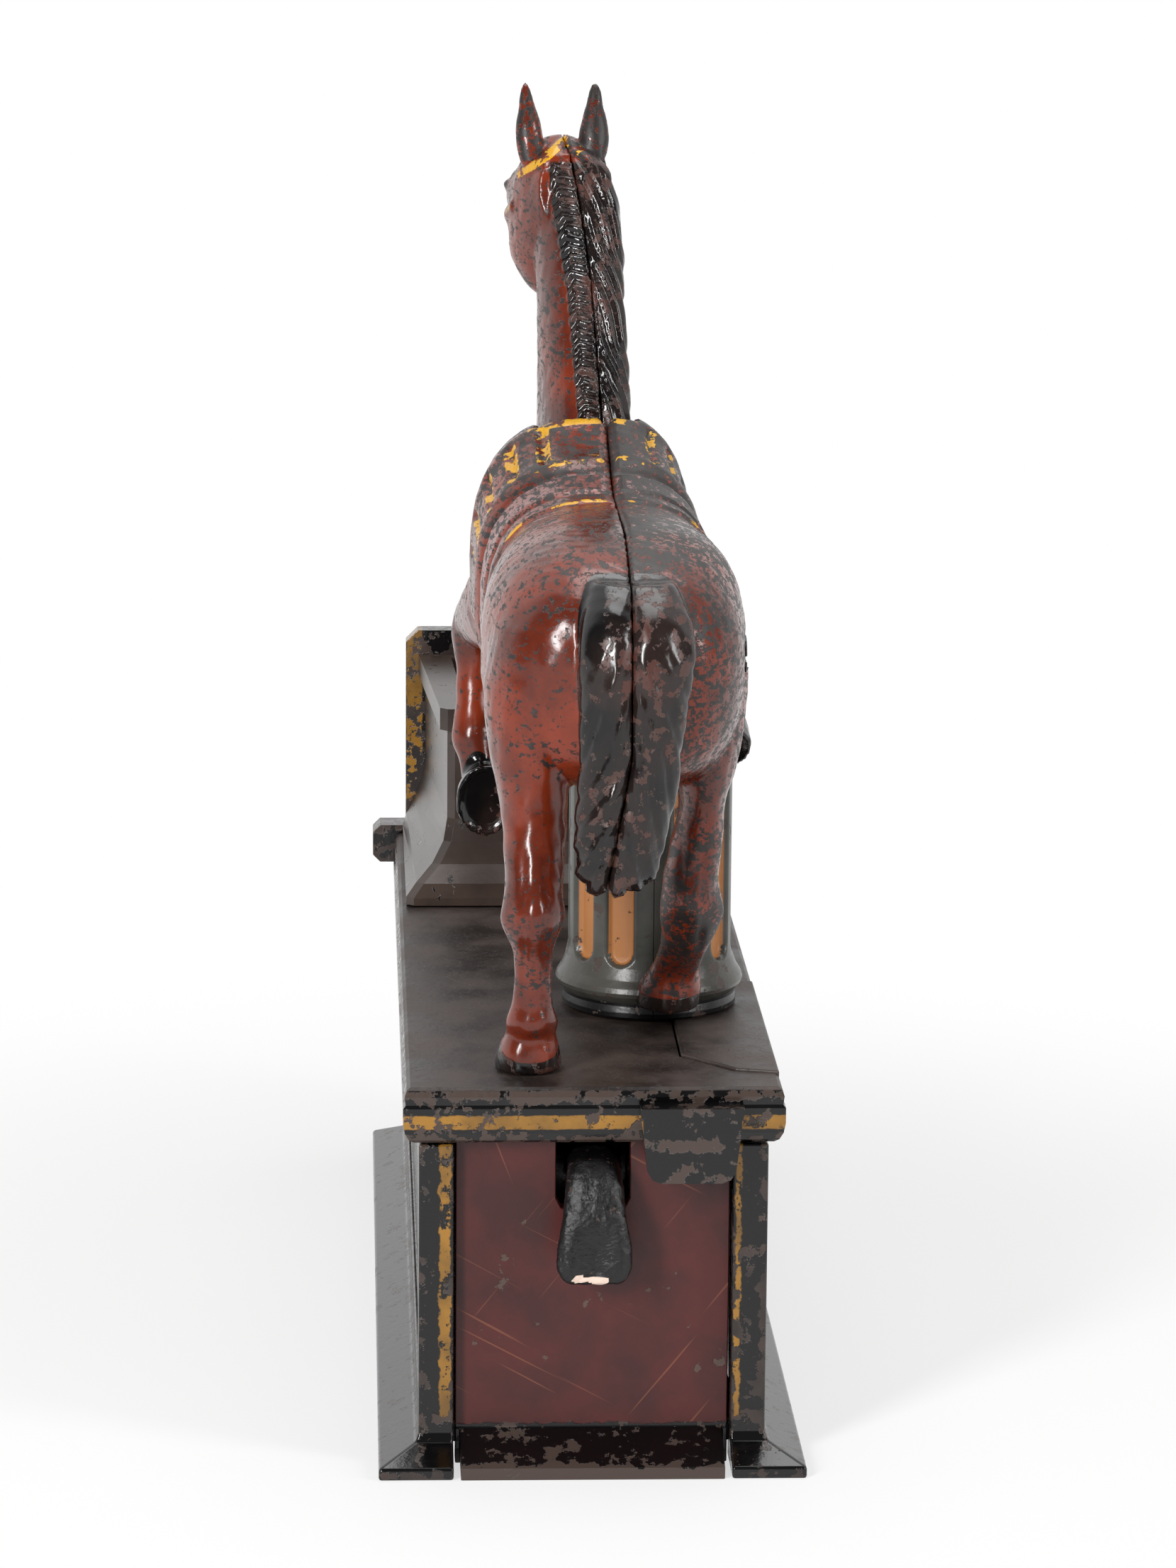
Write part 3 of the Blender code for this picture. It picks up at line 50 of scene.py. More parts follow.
MM = 0.001
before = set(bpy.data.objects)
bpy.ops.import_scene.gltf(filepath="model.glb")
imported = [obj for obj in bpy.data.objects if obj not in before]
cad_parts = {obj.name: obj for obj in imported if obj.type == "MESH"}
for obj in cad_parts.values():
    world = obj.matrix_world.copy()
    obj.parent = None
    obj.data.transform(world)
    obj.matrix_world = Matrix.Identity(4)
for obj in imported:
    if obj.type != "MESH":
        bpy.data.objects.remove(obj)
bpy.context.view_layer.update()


def corners(node):
    """Lowest and highest corner of a solid, in millimetres."""
    low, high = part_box(node)
    return np.array(low) / MM, np.array(high) / MM


def middle(node):
    """Middle of a solid, in millimetres."""
    return sum(corners(node)) / 2


# places read from the solids; the castings stand a little above the deck's face
STAND = 0.3
DECK_TOP = float(corners("manger")[0][2] - STAND)
SIDE_HIGH = corners("base_right_side")[1]
BOARD_HIGH = corners("manger_backboard")[1]
NECK_PIVOT = middle("neck_pivot_pin")
LEVER_PIVOT = middle("lever_pivot_pin")
LINK_PIN = middle("lever_link_pin")
CRANK_PIN = middle("neck_crank_pin")
BODY_SCREW = middle("body_screw")
SKIRT_OUT = 5.6
Y_REAR = -float(SIDE_HIGH[1]) + SKIRT_OUT
X_BOX = float(SIDE_HIGH[0]) - SKIRT_OUT

# the figure's own places
HORSE_MIDDLE = 4.6
COLUMN_X = 10.0
COLUMN_Y = -37.0
COLUMN_RADIUS = 12.0
COLUMN_BORE = 5.0
COLUMN_TOP = 42.0
SEAM = 0.05
BODY_WALL = 2.8
THIN_ROUND = 0.25 * MM
BODY_FULLNESS = 2.7
HUB_RADIUS = 14.5
HUB_WIDTH = 14.0
HUB_PLAY = 0.5
HUB_SIDE_PLAY = 0.4
BORE_SIDES = 24
PIN_BORE = 1.6
CRANK_BORE = 1.4
LINK_BORE = 1.35
LEVER_LEFT = -14.8
FLUTE_HALF = 2.4
FLUTE_DEPTH = 1.15
FLUTE_LOW = 7.8
FLUTE_HIGH = 35.4
POLL_Y = 59.5
POLL_Z = 113.2
FIGURE = np.array([HORSE_MIDDLE, COLUMN_Y, DECK_TOP])

TORSO = (
    # y from the column, top, bottom, reach to the left, reach to the right
    (-46.0, 60.5, 50.5, 6.4, 5.6),
    (-43.0, 67.5, 43.5, 12.9, 11.1),
    (-35.0, 72.0, 39.5, 17.9, 15.6),
    (-23.0, 74.3, 38.0, 19.8, 17.4),
    (-11.0, 74.3, 38.0, 19.6, 17.4),
    (1.0, 74.0, 37.5, 18.4, 15.8),
    (13.0, 75.0, 37.5, 18.6, 14.8),
    (25.0, 78.6, 38.0, 19.4, 12.8),
    (37.0, 81.8, 39.0, 19.4, 11.8),
    (47.0, 79.2, 41.5, 17.4, 10.6),
    (54.0, 72.5, 45.5, 14.0, 8.8),
    (59.0, 64.5, 53.5, 9.0, 5.4),
)
HIND_LEGS = {
    # height, x, y, half width, half depth
    "left": (
        (62.5, -9.6, -29.0, 9.0, 14.0),
        (52.5, -11.6, -31.0, 8.2, 12.5),
        (44.5, -13.1, -33.0, 6.0, 10.0),
        (39.5, -13.0, -35.0, 5.0, 8.0),
        (34.5, -12.8, -37.5, 4.5, 6.2),
        (29.5, -12.9, -40.0, 4.2, 5.4),
        (24.5, -13.0, -42.5, 3.9, 4.8),
        (21.0, -13.2, -42.5, 3.5, 4.6),
        (16.5, -13.0, -41.5, 2.7, 3.4),
        (10.5, -13.1, -41.0, 2.8, 3.2),
        (7.4, -13.1, -40.0, 3.7, 3.9),
        (5.4, -13.2, -39.0, 3.5, 3.8),
        (3.4, -13.4, -38.0, 4.2, 5.0),
        (0.3, -13.6, -37.3, 4.9, 5.8),
    ),
    "right": (
        (54.5, 9.9, -23.0, 8.0, 13.0),
        (46.5, 10.9, -23.0, 6.4, 11.0),
        (40.5, 11.6, -23.5, 4.6, 8.5),
        (35.5, 11.4, -24.0, 3.3, 6.5),
        (29.5, 10.6, -25.0, 3.7, 5.6),
        (24.5, 9.8, -25.5, 3.9, 5.2),
        (19.5, 9.7, -25.0, 4.2, 4.6),
        (15.5, 9.6, -23.0, 3.7, 4.0),
        (12.0, 8.8, -20.0, 3.4, 3.6),
        (9.0, 8.1, -17.0, 3.7, 3.8),
        (6.5, 7.7, -15.0, 4.5, 5.0),
        (3.2, 7.4, -14.0, 4.6, 5.6),
    ),
}
TAIL = (
    # height, x, y, half width, half depth
    (69.5, 0.5, -40.5, 5.6, 3.4),
    (67.0, 0.7, -43.5, 6.5, 3.6),
    (64.0, 0.9, -46.0, 7.4, 3.7),
    (59.5, 0.9, -47.4, 7.6, 3.7),
    (50.3, 0.2, -47.6, 7.1, 3.5),
    (41.2, -0.4, -47.4, 6.7, 3.3),
    (36.5, -1.1, -47.2, 6.3, 3.1),
    (32.0, -1.4, -47.0, 5.7, 2.8),
    (29.7, -1.6, -46.9, 5.2, 2.5),
    (27.8, -1.8, -46.8, 3.4, 1.6),
)
FORELEGS = {
    # x, y, height, half width, half depth: forearm, then shank and hoof
    "left": (
        (
            (-11.5, 39.0, 55.0, 7.0, 9.0),
            (-14.1, 46.0, 52.0, 6.6, 8.6),
            (-16.8, 56.0, 48.5, 5.0, 6.0),
            (-18.6, 64.0, 46.0, 3.6, 4.2),
        ),
        (
            (-18.5, 63.6, 48.5, 3.2, 2.6),
            (-18.7, 64.4, 44.0, 3.9, 4.2),
            (-18.9, 63.6, 38.0, 2.9, 3.2),
            (-19.0, 62.3, 32.0, 3.0, 3.2),
            (-18.9, 61.2, 28.2, 3.7, 3.8),
            (-18.4, 59.9, 24.4, 2.9, 3.1),
            (-18.0, 58.8, 21.2, 3.0, 3.2),
        ),
    ),
    "right": (
        (
            (7.6, 39.0, 55.0, 7.0, 9.0),
            (10.6, 46.0, 52.5, 6.6, 8.6),
            (14.2, 57.0, 50.0, 5.0, 6.0),
            (16.4, 66.0, 48.8, 3.6, 4.2),
        ),
        (
            (16.2, 65.4, 51.0, 3.2, 2.6),
            (16.8, 66.2, 47.0, 3.9, 4.2),
            (17.8, 65.0, 42.0, 2.9, 3.2),
            (18.8, 63.2, 37.0, 3.2, 3.4),
            (19.2, 61.2, 33.4, 3.0, 3.2),
            (19.5, 59.0, 30.6, 4.0, 4.4),
            (19.6, 55.6, 27.0, 4.7, 5.8),
        ),
    ),
}
FOLDED_HOOF = (
    # x, y, height, half width, half depth of the left forehoof, folded back
    (-17.8, 59.8, 20.4, 3.0, 3.6),
    (-17.6, 57.6, 19.7, 4.1, 5.1),
    (-17.3, 54.4, 18.9, 4.7, 6.2),
)
NECK_SEAM = (
    # y, x of the parting between the neck's halves
    (-20.0, 1.2),
    (34.0, 0.1),
    (39.0, -0.6),
    (45.0, -1.9),
    (52.0, -4.2),
    (57.0, -5.3),
    (86.0, -8.4),
    (112.0, -11.2),
)
NECK = (
    # crest y, crest height, throat y, throat height, half width, x
    (33.0, 66.5, 55.5, 52.5, 6.6, -2.6),
    (37.5, 80.5, 59.0, 66.5, 6.6, -2.8),
    (41.0, 90.5, 59.5, 80.5, 6.4, -3.0),
    (44.5, 100.5, 59.0, 91.5, 6.1, -3.3),
    (48.0, 109.5, 60.0, 99.0, 6.2, -3.5),
    (51.5, 116.5, 63.0, 103.0, 6.0, -4.3),
    (55.0, 120.0, 66.0, 106.0, 5.0, -5.4),
)
HEAD = (
    # y, height, reach up, reach down, half width, x
    (53.0, 114.6, 5.2, 6.0, 4.2, -5.4),
    (POLL_Y, POLL_Z, 9.2, 12.4, 6.4, -6.1),
    (65.0, 111.6, 7.8, 15.4, 7.2, -6.6),
    (71.0, 110.0, 6.4, 12.0, 6.4, -7.1),
    (77.0, 108.4, 5.2, 8.6, 5.2, -7.7),
    (82.5, 107.0, 5.0, 8.2, 5.3, -8.2),
    (86.0, 106.0, 3.6, 6.2, 4.3, -8.5),
)
EARS = (
    # foot, tip, half width
    ((-10.6, 58.6, 117.6), (-11.6, 62.0, 130.0), 1.9),
    ((-1.1, 58.6, 117.6), (-0.8, 62.0, 130.0), 2.1),
)
HEAD_LEAN = math.radians(15.0)
TONGUE = (
    # y from the box's rear face, z from the pivot, half width, half thickness
    (9.0, 0.9, 3.6, 2.6),
    (2.0, 2.4, 3.7, 2.4),
    (-1.2, 0.8, 4.0, 2.2),
    (-3.2, -3.6, 4.5, 1.9),
    (-3.9, -8.6, 5.3, 1.5),
    (-4.0, -11.6, 5.0, 1.3),
    (-3.9, -12.9, 3.0, 0.9),
)
COLUMN_PROFILE = (
    # radius, height
    (12.2, STAND),
    (12.7, 0.7),
    (12.8, 1.4),
    (12.6, 2.4),
    (12.7, 2.9),
    (13.5, 3.8),
    (13.7, 4.4),
    (13.5, 5.1),
    (12.8, 6.2),
    (12.2, 7.8),
    (12.0, 9.2),
    (12.0, 38.0),
    (11.7, 40.0),
    (10.6, 41.4),
    (8.0, COLUMN_TOP),
)
BODY_HILLS = (
    # place, radii and height of the swellings at joints and muscles
    ((-13.0, -46.6, 24.0), (2.2, 2.5, 3.0), 1.0),
    ((-16.6, -42.5, 23.0), (1.6, 2.6, 2.6), 0.8),
    ((-9.6, -42.3, 22.8), (1.5, 2.6, 2.4), 0.7),
    ((-15.2, -42.0, 2.8), (1.8, 2.0, 2.6), 0.5),
    ((-11.0, -42.0, 2.8), (1.8, 2.0, 2.6), 0.5),
    ((-13.1, -43.6, 7.2), (2.2, 1.6, 2.0), 0.6),
    ((9.8, -29.8, 21.5), (2.2, 2.4, 3.0), 1.0),
    ((13.4, -25.0, 20.0), (1.4, 2.6, 2.8), 0.8),
    ((7.2, -19.8, 5.2), (2.2, 2.0, 2.2), 0.5),
    ((-18.9, 67.6, 44.0), (2.4, 2.0, 3.0), 0.7),
    ((16.9, 69.6, 47.0), (2.4, 2.0, 3.0), 0.7),
    ((-12.0, -40.0, 60.0), (9.0, 7.0, 8.0), 0.9),
    ((11.0, -38.0, 60.0), (8.0, 7.0, 8.0), 0.9),
)
EYE = (10.4, 2.8)
HEAD_HILLS = (
    # place along, up and aside, radii and height: brow, eye, jowl, nostril, cheek and lip
    ((10.0, 3.2, 6.0), (3.4, 2.5, 3.0), 1.2),
    ((*EYE, 6.0), (2.1, 1.4, 3.0), -1.1),
    ((*EYE, 6.0), (1.2, 0.9, 3.0), 1.4),
    ((10.0, -8.5, 6.0), (4.5, 5.0, 4.0), 0.7),
    ((25.6, 1.0, 4.6), (1.7, 1.5, 2.4), 0.9),
    ((26.4, 1.1, 5.0), (0.8, 0.7, 2.0), -1.1),
    ((16.0, 1.6, 5.4), (4.5, 1.0, 3.0), 0.5),
    ((14.0, -2.4, 5.6), (4.5, 1.4, 3.0), -0.5),
    ((22.0, -4.6, 4.6), (3.0, 0.8, 3.0), 0.5),
)
LIGHTS = (
    # name, place, width and height in metres, watts
    ("key_light", (-0.50, -0.75, 0.42), 0.16, 0.45, 8.0),
    ("side_light", (0.75, -0.45, 0.45), 0.2, 0.6, 4.2),
    ("top_light", (0.05, 0.15, 1.0), 0.6, 0.6, 4.0),
)
LIGHT_AIM = (0.0, 0.0, 0.08)
CAMERA_PLACE = (-34.2, -839.6, 253.9)
CAMERA_TURN = (11.64, 2.50, 0.45)
CAMERA_LENS = 128.93
FLOOR_REACH = 3000.0


def srgb(red, green, blue):
    """A screen colour, 0 to 255, as linear values."""
    shares = np.array([red, green, blue]) / 255
    return tuple(np.where(shares <= 0.04045, shares / 12.92, ((shares + 0.055) / 1.055) ** 2.4))


def tint(name, description, red, green, blue):
    """A colour property with a default picked in screen values."""
    return bpy.props.FloatVectorProperty(
        name=name, description=description, subtype="COLOR", size=3, min=0.0, max=1.0,
        default=srgb(red, green, blue),
    )


# tones beside the paints' own colours
STRAP_PINK = srgb(150, 104, 100)
RIM_BROWN = srgb(60, 28, 22)
SOOT = srgb(38, 27, 24)
HAIR_RUST = srgb(74, 40, 32)
DULL_GOLD = srgb(104, 74, 28)
DUSK_MAROON = srgb(58, 20, 19)
SCRATCH_TAN = srgb(140, 84, 58)
NICK_GREY = srgb(84, 70, 62)
DECK_SPECK = srgb(110, 98, 90)
PALE_MOSS = srgb(74, 72, 66)
DULL_COPPER = srgb(164, 108, 60)
STEEL_BROWN = srgb(84, 76, 70)
STEEL_GREY = srgb(124, 118, 112)
TROUGH_IRON = (srgb(46, 36, 31), srgb(62, 50, 43))


def length(name, description, size):
    """A length property with a default in millimetres."""
    return bpy.props.FloatProperty(name=name, description=description, default=size * MM, unit="LENGTH")


def factor(name, description, default):
    """A property from 0 to 1."""
    return bpy.props.FloatProperty(
        name=name, description=description, default=default, min=0.0, max=1.0, subtype="FACTOR")


class CoinBankSizes(bpy.types.PropertyGroup):
    """Sizes of the finishing work."""

    body_grain: length("Body grain", "Mesh size of the horse's skin", 0.5)
    neck_grain: length("Neck grain", "Mesh size of the neck and head", 0.33)
    lever_grain: length("Lever grain", "Mesh size of the thumb lever", 0.4)
    edge_round: length("Edge round", "Radius on the edges of the plain castings", 0.55)
    hair_depth: length("Hair depth", "Depth of the grooves in mane and tail", 0.55)
    trim_height: length("Trim height", "Rise of the saddle cloth's edges and the bridle", 0.5)


class CoinBankPaint(bpy.types.PropertyGroup):
    """Colours of the paints and of the iron under them."""

    oxide: tint("Oxide red", "Enamel of the horse", 126, 45, 19)
    oxide_dark: tint("Deep oxide red", "Darker patches of that enamel", 84, 30, 16)
    iron: tint("Bare iron", "Iron where the paint has gone", 36, 30, 28)
    black: tint("Black enamel", "Mane, tail, posts, cornice and lever", 9, 8, 9)
    rust: tint("Brown iron", "Iron in the chips of the black enamel", 66, 53, 47)
    maroon: tint("Maroon", "End panels", 76, 25, 22)
    gold: tint("Gold bronze", "Painted lines of the base", 150, 106, 34)
    copper: tint("Copper bronze", "Flutes of the column", 170, 112, 60)
    moss: tint("Grey green", "Column between its flutes", 50, 51, 46)
    deck: tint("Deck iron", "Worn top of the base", 70, 59, 54)
    yellow: tint("Chrome yellow", "Saddle cloth and bridle", 214, 158, 16)
    cream: tint("Cream", "Patch behind the girth", 226, 206, 160)
    primer: tint("Primer", "Chips at the lever's tip", 224, 200, 184)


class CoinBankWear(bpy.types.PropertyGroup):
    """How much paint has gone, from 0 to 1."""

    left: factor("Left half", "Wear of the horse's left half", 0.3)
    right: factor("Right half", "Wear of the horse's right half", 0.45)
    black: factor("Black enamel", "Wear of the black castings", 0.27)


def put(name, points, faces):
    """A mesh object from points in millimetres, its faces turned outward."""
    mesh = bpy.data.meshes.new(name)
    mesh.from_pydata((np.asarray(points, float) * MM).tolist(), [], faces)
    work = bmesh.new()
    work.from_mesh(mesh)
    bmesh.ops.recalc_face_normals(work, faces=work.faces)
    work.to_mesh(mesh)
    work.free()
    thing = bpy.data.objects.new(name, mesh)
    bpy.context.scene.collection.objects.link(thing)
    return thing


def wall_faces(rows, cols):
    """Quads of a grid whose columns run round and close."""
    row, col = np.meshgrid(np.arange(rows - 1), np.arange(cols), indexing="ij")
    after = (col + 1) % cols
    low = row * cols
    return np.stack([low + col, low + after, low + cols + after, low + cols + col], -1).reshape(-1, 4)


def skin(name, rings):
    """Closed rings joined by quads, each end closed by a fan to its middle."""
    rings = np.asarray(rings, float)
    rows, cols = rings.shape[:2]
    points = np.concatenate([rings.reshape(-1, 3), [rings[0].mean(0), rings[-1].mean(0)]])
    col = np.arange(cols)
    after = (col + 1) % cols
    last = (rows - 1) * cols
    near = np.stack([np.full(cols, rows * cols), after, col], -1)
    far = np.stack([np.full(cols, rows * cols + 1), last + col, last + after], -1)
    return put(name, points, wall_faces(rows, cols).tolist() + near.tolist() + far.tolist())


def prism(name, outline, axis, reach):
    """An outline pushed along an axis; its pairs are the other two axes in order."""
    outline = np.asarray(outline, float)
    level = np.repeat(np.asarray(reach, float)[:, None], len(outline), 1)
    flat = np.repeat(outline[None], len(reach), 0)
    columns = [flat[..., 0], flat[..., 1]]
    columns.insert("XYZ".index(axis), level)
    rings = np.stack(columns, -1)
    count = len(outline)
    faces = wall_faces(len(reach), count).tolist()
    faces.append(list(range(count)))
    faces.append(list(range((len(reach) - 1) * count, len(reach) * count)))
    return put(name, rings.reshape(-1, 3), faces)


def block(name, x, y, z):
    """A box from three (low, high) pairs."""
    return prism(name, [(x[0], y[0]), (x[1], y[0]), (x[1], y[1]), (x[0], y[1])], "Z", z)


def round_turns(count):
    """Even angles once round."""
    return np.linspace(0, 2 * np.pi, count, endpoint=False)


def circle(centre, radius, sides=48):
    """Outline of a circle in a plane."""
    turns = round_turns(sides)
    return np.stack([centre[0] + radius * np.cos(turns), centre[1] + radius * np.sin(turns)], -1)


def stadium(start, end, radius, sides=10):
    """Outline of a bar with round ends."""
    start, end = np.asarray(start, float), np.asarray(end, float)
    lean = math.atan2(end[1] - start[1], end[0] - start[0])
    turns = np.linspace(-np.pi / 2, np.pi / 2, sides + 1)
    far = end + radius * np.stack([np.cos(lean + turns), np.sin(lean + turns)], -1)
    near = start - radius * np.stack([np.cos(lean + turns), np.sin(lean + turns)], -1)
    return np.concatenate([far, near])


def spline(stations, count):
    """Rows through a table of stations: cubic arcs whose slopes are central differences."""
    table = np.asarray(stations, float)
    place = np.linspace(0, len(table) - 1, count)
    first = np.clip(place.astype(int), 0, len(table) - 2)
    t = (place - first)[:, None]
    slope = np.gradient(table, axis=0)
    start = (2 * t**3 - 3 * t**2 + 1) * table[first] + (t**3 - 2 * t**2 + t) * slope[first]
    end = (3 * t**2 - 2 * t**3) * table[first + 1] + (t**3 - t**2) * slope[first + 1]
    return start + end


def squared(turns, power):
    """Cosine and sine of a superellipse, fuller than a circle for powers over 2."""
    cosine, sine = np.cos(turns), np.sin(turns)
    lift = np.sign(cosine) * np.abs(cosine) ** (2 / power)
    return lift, np.sign(sine) * np.abs(sine) ** (2 / power)


def settle(thing):
    """Writes an object's modifiers into its mesh."""
    seen = thing.evaluated_get(bpy.context.evaluated_depsgraph_get())
    mesh = bpy.data.meshes.new_from_object(seen)
    thing.modifiers.clear()
    old = thing.data
    thing.data = mesh
    bpy.data.meshes.remove(old)
    return thing


def carve(thing, tool, operation="DIFFERENCE"):
    """The exact Boolean of two closed shapes, written into the first."""
    step = thing.modifiers.new("carve", "BOOLEAN")
    step.operation = operation
    step.solver = "EXACT"
    step.object = tool
    settle(thing)
    bpy.data.objects.remove(tool)
    return thing


def pour(name, shapes, grain, relax=3):
    """Closed shapes poured into one skin: a voxel remesh of them all, then rounds of smoothing."""
    points, faces, start = [], [], 0
    for shape in shapes:
        mesh = shape.data
        place = np.empty(len(mesh.vertices) * 3)
        mesh.vertices.foreach_get("co", place)
        points.append(place.reshape(-1, 3) / MM)
        faces += [[start + corner for corner in face.vertices] for face in mesh.polygons]
        start += len(mesh.vertices)
        bpy.data.objects.remove(shape)
    whole = put(name, np.concatenate(points), faces)
    melt = whole.modifiers.new("melt", "REMESH")
    melt.mode = "VOXEL"
    melt.voxel_size = grain
    even = whole.modifiers.new("even", "SMOOTH")
    even.factor = 0.5
    even.iterations = relax
    return settle(whole)


def read_skin(thing):
    """Points in millimetres and outward normals of a mesh."""
    mesh = thing.data
    points = np.empty(len(mesh.vertices) * 3, np.float32)
    normals = np.empty(len(mesh.vertices) * 3, np.float32)
    mesh.vertices.foreach_get("co", points)
    mesh.vertex_normals.foreach_get("vector", normals)
    return points.reshape(-1, 3).astype(float) / MM, normals.reshape(-1, 3).astype(float)


def write_skin(thing, points):
    """Puts moved points back into a mesh and shades it smooth."""
    thing.data.vertices.foreach_set("co", (points * MM).astype(np.float32).ravel())
    thing.data.update()
    thing.data.shade_smooth()


def mask(thing, name, values):
    """A named share, 0 to 1, at each point of a mesh, for its paint."""
    layer = thing.data.attributes.new(name, "FLOAT", "POINT")
    layer.data.foreach_set("value", np.clip(values, 0, 1).astype(np.float32))


def ease(values, low, high):
    """A smooth step from 0 at low to 1 at high."""
    t = np.clip((np.asarray(values) - low) / (high - low), 0, 1)
    return t * t * (3 - 2 * t)


def bell(gap, half):
    """A soft ridge: 1 where the gap is 0, falling as the bell of the gap in half widths."""
    return np.exp(-((gap / half) ** 2))


def band(gap, half):
    """A flat strap: near 1 within the half width, falling steeply at its edges."""
    return np.exp(-((gap / half) ** 4))


def hill(points, centre, radii, height):
    """A smooth swelling: height times the bell of the distance measured in radii."""
    gap = (points - np.asarray(centre)) / np.asarray(radii)
    return height * np.exp(-(gap**2).sum(-1))


def ripple(points, length, seed):
    """Uneven waves near -1 to 1: a mean of sines of that length in seeded directions."""
    chance = np.random.default_rng(seed)
    ways = chance.normal(size=(9, 3))
    ways /= np.linalg.norm(ways, axis=1)[:, None]
    turns = 2 * np.pi / length * chance.uniform(0.6, 1.5, 9)
    starts = chance.uniform(0, 2 * np.pi, 9)
    return np.sin(points @ (ways * turns[:, None]).T + starts).sum(-1) / 4.0


def figure(points):
    """Points of the figure moved from its own offsets into the frame."""
    return np.asarray(points, float) + FIGURE


def torso_rings(side, rows=110, around=44):
    """Half sections of the body: a superellipse arc on one side, closed straight down the seam."""
    y, top, low, left, right = spline(TORSO, rows).T
    reach = (left if side < 0 else right)[:, None]
    middle, half = ((top + low) / 2)[:, None], ((top - low) / 2)[:, None]
    lift, out = squared(np.linspace(0, np.pi, around), BODY_FULLNESS)
    arc_x = side * (SEAM + (reach - SEAM) * out)
    arc_z = middle + half * lift
    share = np.linspace(-1, 1, around // 2)[1:-1]
    flat_x = np.full((rows, len(share)), side * SEAM)
    flat_z = middle + half * share
    x = np.concatenate([arc_x, flat_x], 1)
    z = np.concatenate([arc_z, flat_z], 1)
    return figure(np.stack([x, np.repeat(y[:, None], x.shape[1], 1), z], -1))


def hollow_rings(inset, around=36):
    """Whole sections set in from the body's skin, for the space inside the castings."""
    y, top, low, left, right = np.asarray(TORSO[2:8]).T
    lift, side = squared(round_turns(around), BODY_FULLNESS)
    reach = np.where(side < 0, left[:, None] - inset, right[:, None] - inset)
    z = ((top + low) / 2)[:, None] + ((top - low) / 2 - inset)[:, None] * lift
    return figure(np.stack([side * reach, np.repeat(y[:, None], around, 1), z], -1))


def leg_rings(stations, rows=90, around=36):
    """A leg from level ellipses, its stations joined by smooth arcs."""
    height, x, y, half_x, half_y = (col[:, None] for col in spline(stations, rows).T)
    turns = round_turns(around)
    ring = [x + half_x * np.cos(turns), y + half_y * np.sin(turns), np.repeat(height, around, 1)]
    return figure(np.stack(ring, -1))


def limb_rings(stations, rows=60, around=32, dish=0.0):
    """Ellipses square to a bent path; a dish sinks the last face, as in a hoof's sole."""
    table = spline(stations, rows)
    path, radii = table[:, :3], table[:, 3:]
    along = np.gradient(path, axis=0)
    along /= np.linalg.norm(along, axis=1)[:, None]
    across = np.array([1.0, 0.0, 0.0]) - along * along[:, :1]
    across /= np.linalg.norm(across, axis=1)[:, None]
    out = np.cross(along, across)
    if dish:
        shares = np.array([0.86, 0.76, 0.7])
        drops = np.array([0.0, -dish, -dish])
        path = np.concatenate([path, path[-1] + along[-1] * drops[:, None]])
        radii = np.concatenate([radii, radii[-1] * shares[:, None]])
        across = np.concatenate([across, np.repeat(across[-1:], 3, 0)])
        out = np.concatenate([out, np.repeat(out[-1:], 3, 0)])
    turns = round_turns(around)[None, :, None]
    side = across[:, None] * radii[:, None, :1] * np.cos(turns)
    deep = out[:, None] * radii[:, None, 1:] * np.sin(turns)
    return figure(path[:, None] + side + deep)


def tail_seam(height):
    """Offset of the tail's seam, which leans left towards the tip."""
    return np.interp(height, (28.5, 46.0), (-3.0, 0.0))


def tail_share(local):
    """1 on the tail's own skin, 0 off it, from how far a point is out of the tail's section."""
    table = np.asarray(TAIL)[::-1]
    x, y, half_x, half_y = (np.interp(local[:, 2], table[:, 0], table[:, col]) for col in (1, 2, 3, 4))
    out = np.hypot((local[:, 0] - x) / half_x, (local[:, 1] - y) / half_y)
    behind = ease((y - local[:, 1]) / half_y, -0.75, -0.4)
    dome = 73.4 - 0.1 * local[:, 0] ** 2
    level = ease(local[:, 2], 25.0, 27.0) * ease(dome - local[:, 2], 0, 1)
    return ease(1.22 - out, 0.0, 0.1) * behind * level


def tail_rings(side, rows=80, around=28):
    """Half sections of the tail: the arc of an ellipse on one side, closed along the seam."""
    height, x, y, half_x, half_y = spline(TAIL, rows).T
    seam = tail_seam(height) + side * SEAM
    opening = np.arccos(np.clip(side * (seam - x) / half_x, -0.98, 0.98))
    turns = opening[:, None] * np.linspace(-1, 1, around)
    arc_x = x[:, None] + side * half_x[:, None] * np.cos(turns)
    arc_y = y[:, None] + half_y[:, None] * np.sin(turns)
    share = np.linspace(1, -1, 10)[1:-1]
    flat_x = np.repeat(arc_x[:, :1], len(share), 1)
    flat_y = y[:, None] + half_y[:, None] * np.sin(opening)[:, None] * share
    ring_x = np.concatenate([arc_x, flat_x], 1)
    ring_y = np.concatenate([arc_y, flat_y], 1)
    ring_z = np.repeat(height[:, None], ring_x.shape[1], 1)
    return figure(np.stack([ring_x, ring_y, ring_z], -1))


def neck_room():
    """The space between the shoulders that the neck's hub swings in."""
    low = NECK_PIVOT[0] - HUB_WIDTH / 2 - HUB_SIDE_PLAY
    high = NECK_PIVOT[0] + HUB_WIDTH / 2 + HUB_SIDE_PLAY
    y, z = NECK_PIVOT[1:]
    room = prism("room", circle((y, z), HUB_RADIUS + HUB_PLAY), "X", (low, high))
    carve(room, block("above", (low, high), (y - 8.9, y + 40), (z, z + 60)), "UNION")
    ahead = block("ahead", (low, high), (y, y + 40), (z - HUB_RADIUS - HUB_PLAY, z + 50))
    return carve(room, ahead, "UNION")


